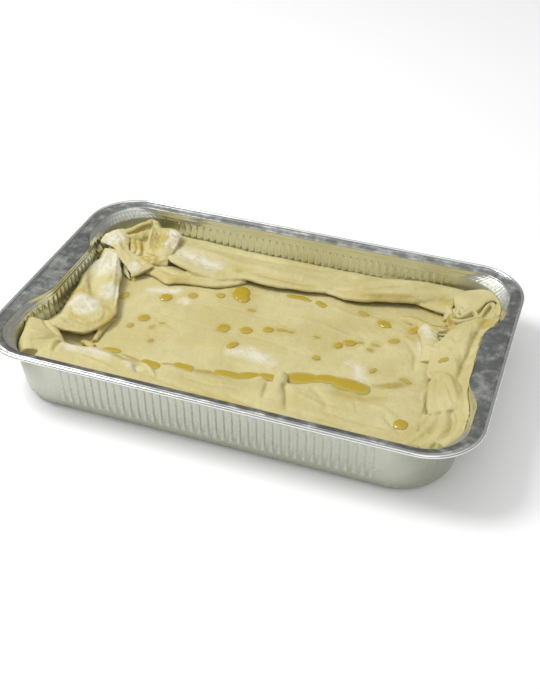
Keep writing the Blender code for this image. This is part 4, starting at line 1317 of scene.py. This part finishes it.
def oil_bead():
    """One drop, closed, 1 across each half. `swell` runs from 0 at its rim to 1 on top."""
    segments = 20
    rings = [(1.0, -0.5), (1.0, 0.0), (0.93, 0.42), (0.80, 0.68), (0.60, 0.86), (0.34, 0.97)]
    points = [(0.0, 0.0, 0.0)]
    swell = [-0.5]
    for radius, level in rings:
        for step in range(segments):
            angle = 2 * pi * step / segments
            points.append((radius * cos(angle), radius * sin(angle), 0.0))
            swell.append(level)
    points.append((0.0, 0.0, 0.0))
    swell.append(1.0)
    faces = []
    top = len(points) - 1
    for step in range(segments):
        after = (step + 1) % segments
        faces.append((0, 1 + after, 1 + step))
        for ring_index in range(len(rings) - 1):
            a = 1 + ring_index * segments
            faces.append((a + step, a + after, a + segments + after, a + segments + step))
        last = 1 + (len(rings) - 1) * segments
        faces.append((last + step, last + after, top))
    bead = mesh_object("oil_bead", points, faces)
    attribute(bead, "swell", swell)
    return bead


def drop_tree(sizes, beds):
    """Set a bead on each point, lay it on the dough below, and swell it to its height."""
    tree, size = geometry_tree("Lay oil drops", sizes)
    bead = put(tree, 'GeometryNodeObjectInfo', values={"Object": size["Bead"]}, out=4)
    turn = put(tree, 'ShaderNodeCombineXYZ', values={"Z": named(tree, "turn")})
    reach = put(tree, 'ShaderNodeCombineXYZ', values={"X": named(tree, "half_long"),
                "Y": named(tree, "half_wide"), "Z": 1.0})
    placed = put(tree, 'GeometryNodeInstanceOnPoints', values={"Points": size["Geometry"],
                 "Instance": bead, "Rotation": turn, "Scale": reach})
    whole = put(tree, 'GeometryNodeRealizeInstances', values={"Geometry": placed})
    here = put(tree, 'GeometryNodeInputPosition')
    ragged = put(tree, 'ShaderNodeTexNoise', {"normalize": False},
                 {"Vector": here, "Scale": size["Ragged scale"], "Detail": 2.0}, out=1)
    sway = put(tree, 'ShaderNodeVectorMath', {"operation": 'SCALE'},
               {0: ragged, "Scale": size["Ragged"]})
    level = put(tree, 'ShaderNodeVectorMath', {"operation": 'MULTIPLY'}, {0: sway, 1: (1.0, 1.0, 0.0)})
    loose = put(tree, 'GeometryNodeSetPosition', values={"Geometry": whole, "Offset": level})
    dough = tree.nodes.new('GeometryNodeJoinGeometry')
    for bed in beds:
        under = put(tree, 'GeometryNodeObjectInfo', values={"Object": size[bed]}, out=4)
        tree.links.new(under.socket, dough.inputs[0])
    above = put(tree, 'ShaderNodeVectorMath', {"operation": 'ADD'},
                {0: put(tree, 'GeometryNodeInputPosition'), 1: (0.0, 0.0, RAY_START)})
    ray = tree.nodes.new('GeometryNodeRaycast')
    tree.links.new(dough.outputs[0], ray.inputs["Target Geometry"])
    tree.links.new(above.socket, ray.inputs["Source Position"])
    ray.inputs["Ray Direction"].default_value = (0.0, 0.0, -1.0)
    ray.inputs["Ray Length"].default_value = RAY_LENGTH
    found = Wire(tree, ray.outputs["Hit Position"])
    swollen = put(tree, 'ShaderNodeCombineXYZ', values={"Z": named(tree, "swell") * named(tree, "height")})
    final = put(tree, 'ShaderNodeVectorMath', {"operation": 'ADD'}, {0: found, 1: swollen})
    lying = put(tree, 'GeometryNodeSetPosition', values={"Geometry": loose, "Position": final})
    depth = (named(tree, "swell") * named(tree, "height") * 1000.0).larger(0.0)
    kept = put(tree, 'GeometryNodeStoreNamedAttribute', {"data_type": 'FLOAT', "domain": 'POINT'},
               {"Geometry": lying, "Name": "depth", "Value": depth})
    close_tree(tree, kept, size["Oil"])
    return tree


def oil_drops():
    spots = np.array(OIL_DROPS)
    points = np.column_stack([spots[:, :2] * MM, np.full(len(spots), SHEET_Z)])
    drops = mesh_object("oil_drops", points, [])
    attribute(drops, "half_long", spots[:, 2] * MM)
    attribute(drops, "half_wide", spots[:, 3] * MM)
    attribute(drops, "turn", np.radians(spots[:, 4]))
    attribute(drops, "height", spots[:, 5] * MM)
    bead = oil_bead()
    beds = {"Sheet": sheet, "Front": front, "Left": left, "Bunch": bunch, "Back": back,
            "Right": right, "Corner": corner}
    sizes = {"Bead": bead, "Ragged": 0.0006, "Ragged scale": 260.0, "Oil": oil, **beds}
    apply_tree(drops, drop_tree(sizes, beds), sizes)
    bpy.data.objects.remove(bead, do_unlink=True)
    return drops


hand_over_oil(oil_drops())
soaked_rims = [(x, y, 1.25 * half) for x, y, half, _, _, _ in OIL_DROPS]
SMEARS = [([(-74, -12), (-66, -14), (-58, -17)], 1.6), ([(4, 5), (14, 6.5), (24, 6)], 2.2),
          ([(-38, 36), (-24, 38), (-14, 42)], 2.4), ([(62, -14), (74, -18), (80, -12)], 2.4),
          ([(84, 26), (94, 30), (100, 36)], 3.0), ([(96, -14), (104, -17), (110, -16)], 2.6)]
attribute(sheet, "oil", 0.55 * np.maximum(blot(sheet_points[:, 0], sheet_points[:, 1], soaked_rims),
                                         streak(sheet_points[:, 0], sheet_points[:, 1], SMEARS)))


# ------------------------------------------------------------ the stage
# A pale floor, two soft panels and a dim room that is bright overhead, so that the metal that
# faces up is darker than the metal that faces the floor.

FLOOR_SIZE = 8.0
FLOOR_GLOW = 0.07


def floor_and_room():
    half = FLOOR_SIZE / 2
    corners = [(-half, -half, 0.0), (half, -half, 0.0), (half, half, 0.0), (-half, half, 0.0)]
    floor = mesh_object("floor", corners, [(0, 1, 2, 3)])
    look, _, _ = new_look("pale floor", Base_Color=(0.93, 0.93, 0.93, 1.0), Roughness=0.9,
                          Emission_Color=(1.0, 1.0, 1.0, 1.0), Emission_Strength=FLOOR_GLOW)
    floor.data.materials.append(look)
    world = bpy.data.worlds.new("room")
    world.use_nodes = True
    bpy.context.scene.world = world
    tree = world.node_tree
    sky = tree.nodes["Background"]
    way = put(tree, "ShaderNodeTexCoord", out=0)
    height = put(tree, "ShaderNodeSeparateXYZ", values={"Vector": way}, out=2)
    light = mix(tree, height.between(0.55, 0.98), (0.30, 0.30, 0.30, 1.0), (1.0, 1.0, 1.0, 1.0))
    tree.links.new(light.socket, sky.inputs["Color"])
    sky.inputs["Strength"].default_value = 1.0


def panel(name, place, size, power):
    """A soft round lamp that points at the middle of the tray."""
    light = bpy.data.lights.new(name, 'AREA')
    light.shape = 'DISK'
    light.size = size
    light.energy = power
    thing = bpy.data.objects.new(name, light)
    bpy.context.scene.collection.objects.link(thing)
    turn = Vector(place).to_track_quat('Z', 'Y')
    thing.matrix_world = Matrix.Translation(place) @ turn.to_matrix().to_4x4()


floor_and_room()
panel("key", (-0.80, -0.15, 1.15), 0.6, 13.0)
panel("fill", (0.4, -0.9, 1.0), 0.9, 2.0)

# The camera stands above the front right corner, far enough back for the whole tray.

CAMERA_PLACE = (0.18823, -0.55087, 0.45217)
CAMERA_TURN = radians(19.443)
CAMERA_RISE = radians(37.019)
CAMERA_ROLL = radians(0.704)
FRAME = (540, 689)
FOCAL = 1081.95
CENTRE = (253.74, 345.44)
SENSOR = 36.0


def aim_camera():
    data = bpy.data.cameras.new("camera")
    camera = bpy.data.objects.new("camera", data)
    bpy.context.scene.collection.objects.link(camera)
    bpy.context.scene.camera = camera
    back = Vector((sin(CAMERA_TURN) * cos(CAMERA_RISE), -cos(CAMERA_TURN) * cos(CAMERA_RISE),
                   sin(CAMERA_RISE)))
    across = Vector((cos(CAMERA_TURN), sin(CAMERA_TURN), 0.0))
    up = back.cross(across)
    rolled = across * cos(CAMERA_ROLL) + up * sin(CAMERA_ROLL)
    upright = up * cos(CAMERA_ROLL) - across * sin(CAMERA_ROLL)
    frame_at = Matrix((rolled, upright, back)).transposed().to_4x4()
    frame_at.translation = Vector(CAMERA_PLACE)
    camera.matrix_world = frame_at
    data.sensor_width = SENSOR
    data.lens = FOCAL * SENSOR / FRAME[1]
    data.shift_x = (FRAME[0] / 2 - CENTRE[0]) / FRAME[1]
    data.shift_y = (CENTRE[1] - FRAME[1] / 2) / FRAME[1]
    data.clip_start = 0.01


aim_camera()
bpy.context.scene.view_settings.view_transform = 'Standard'
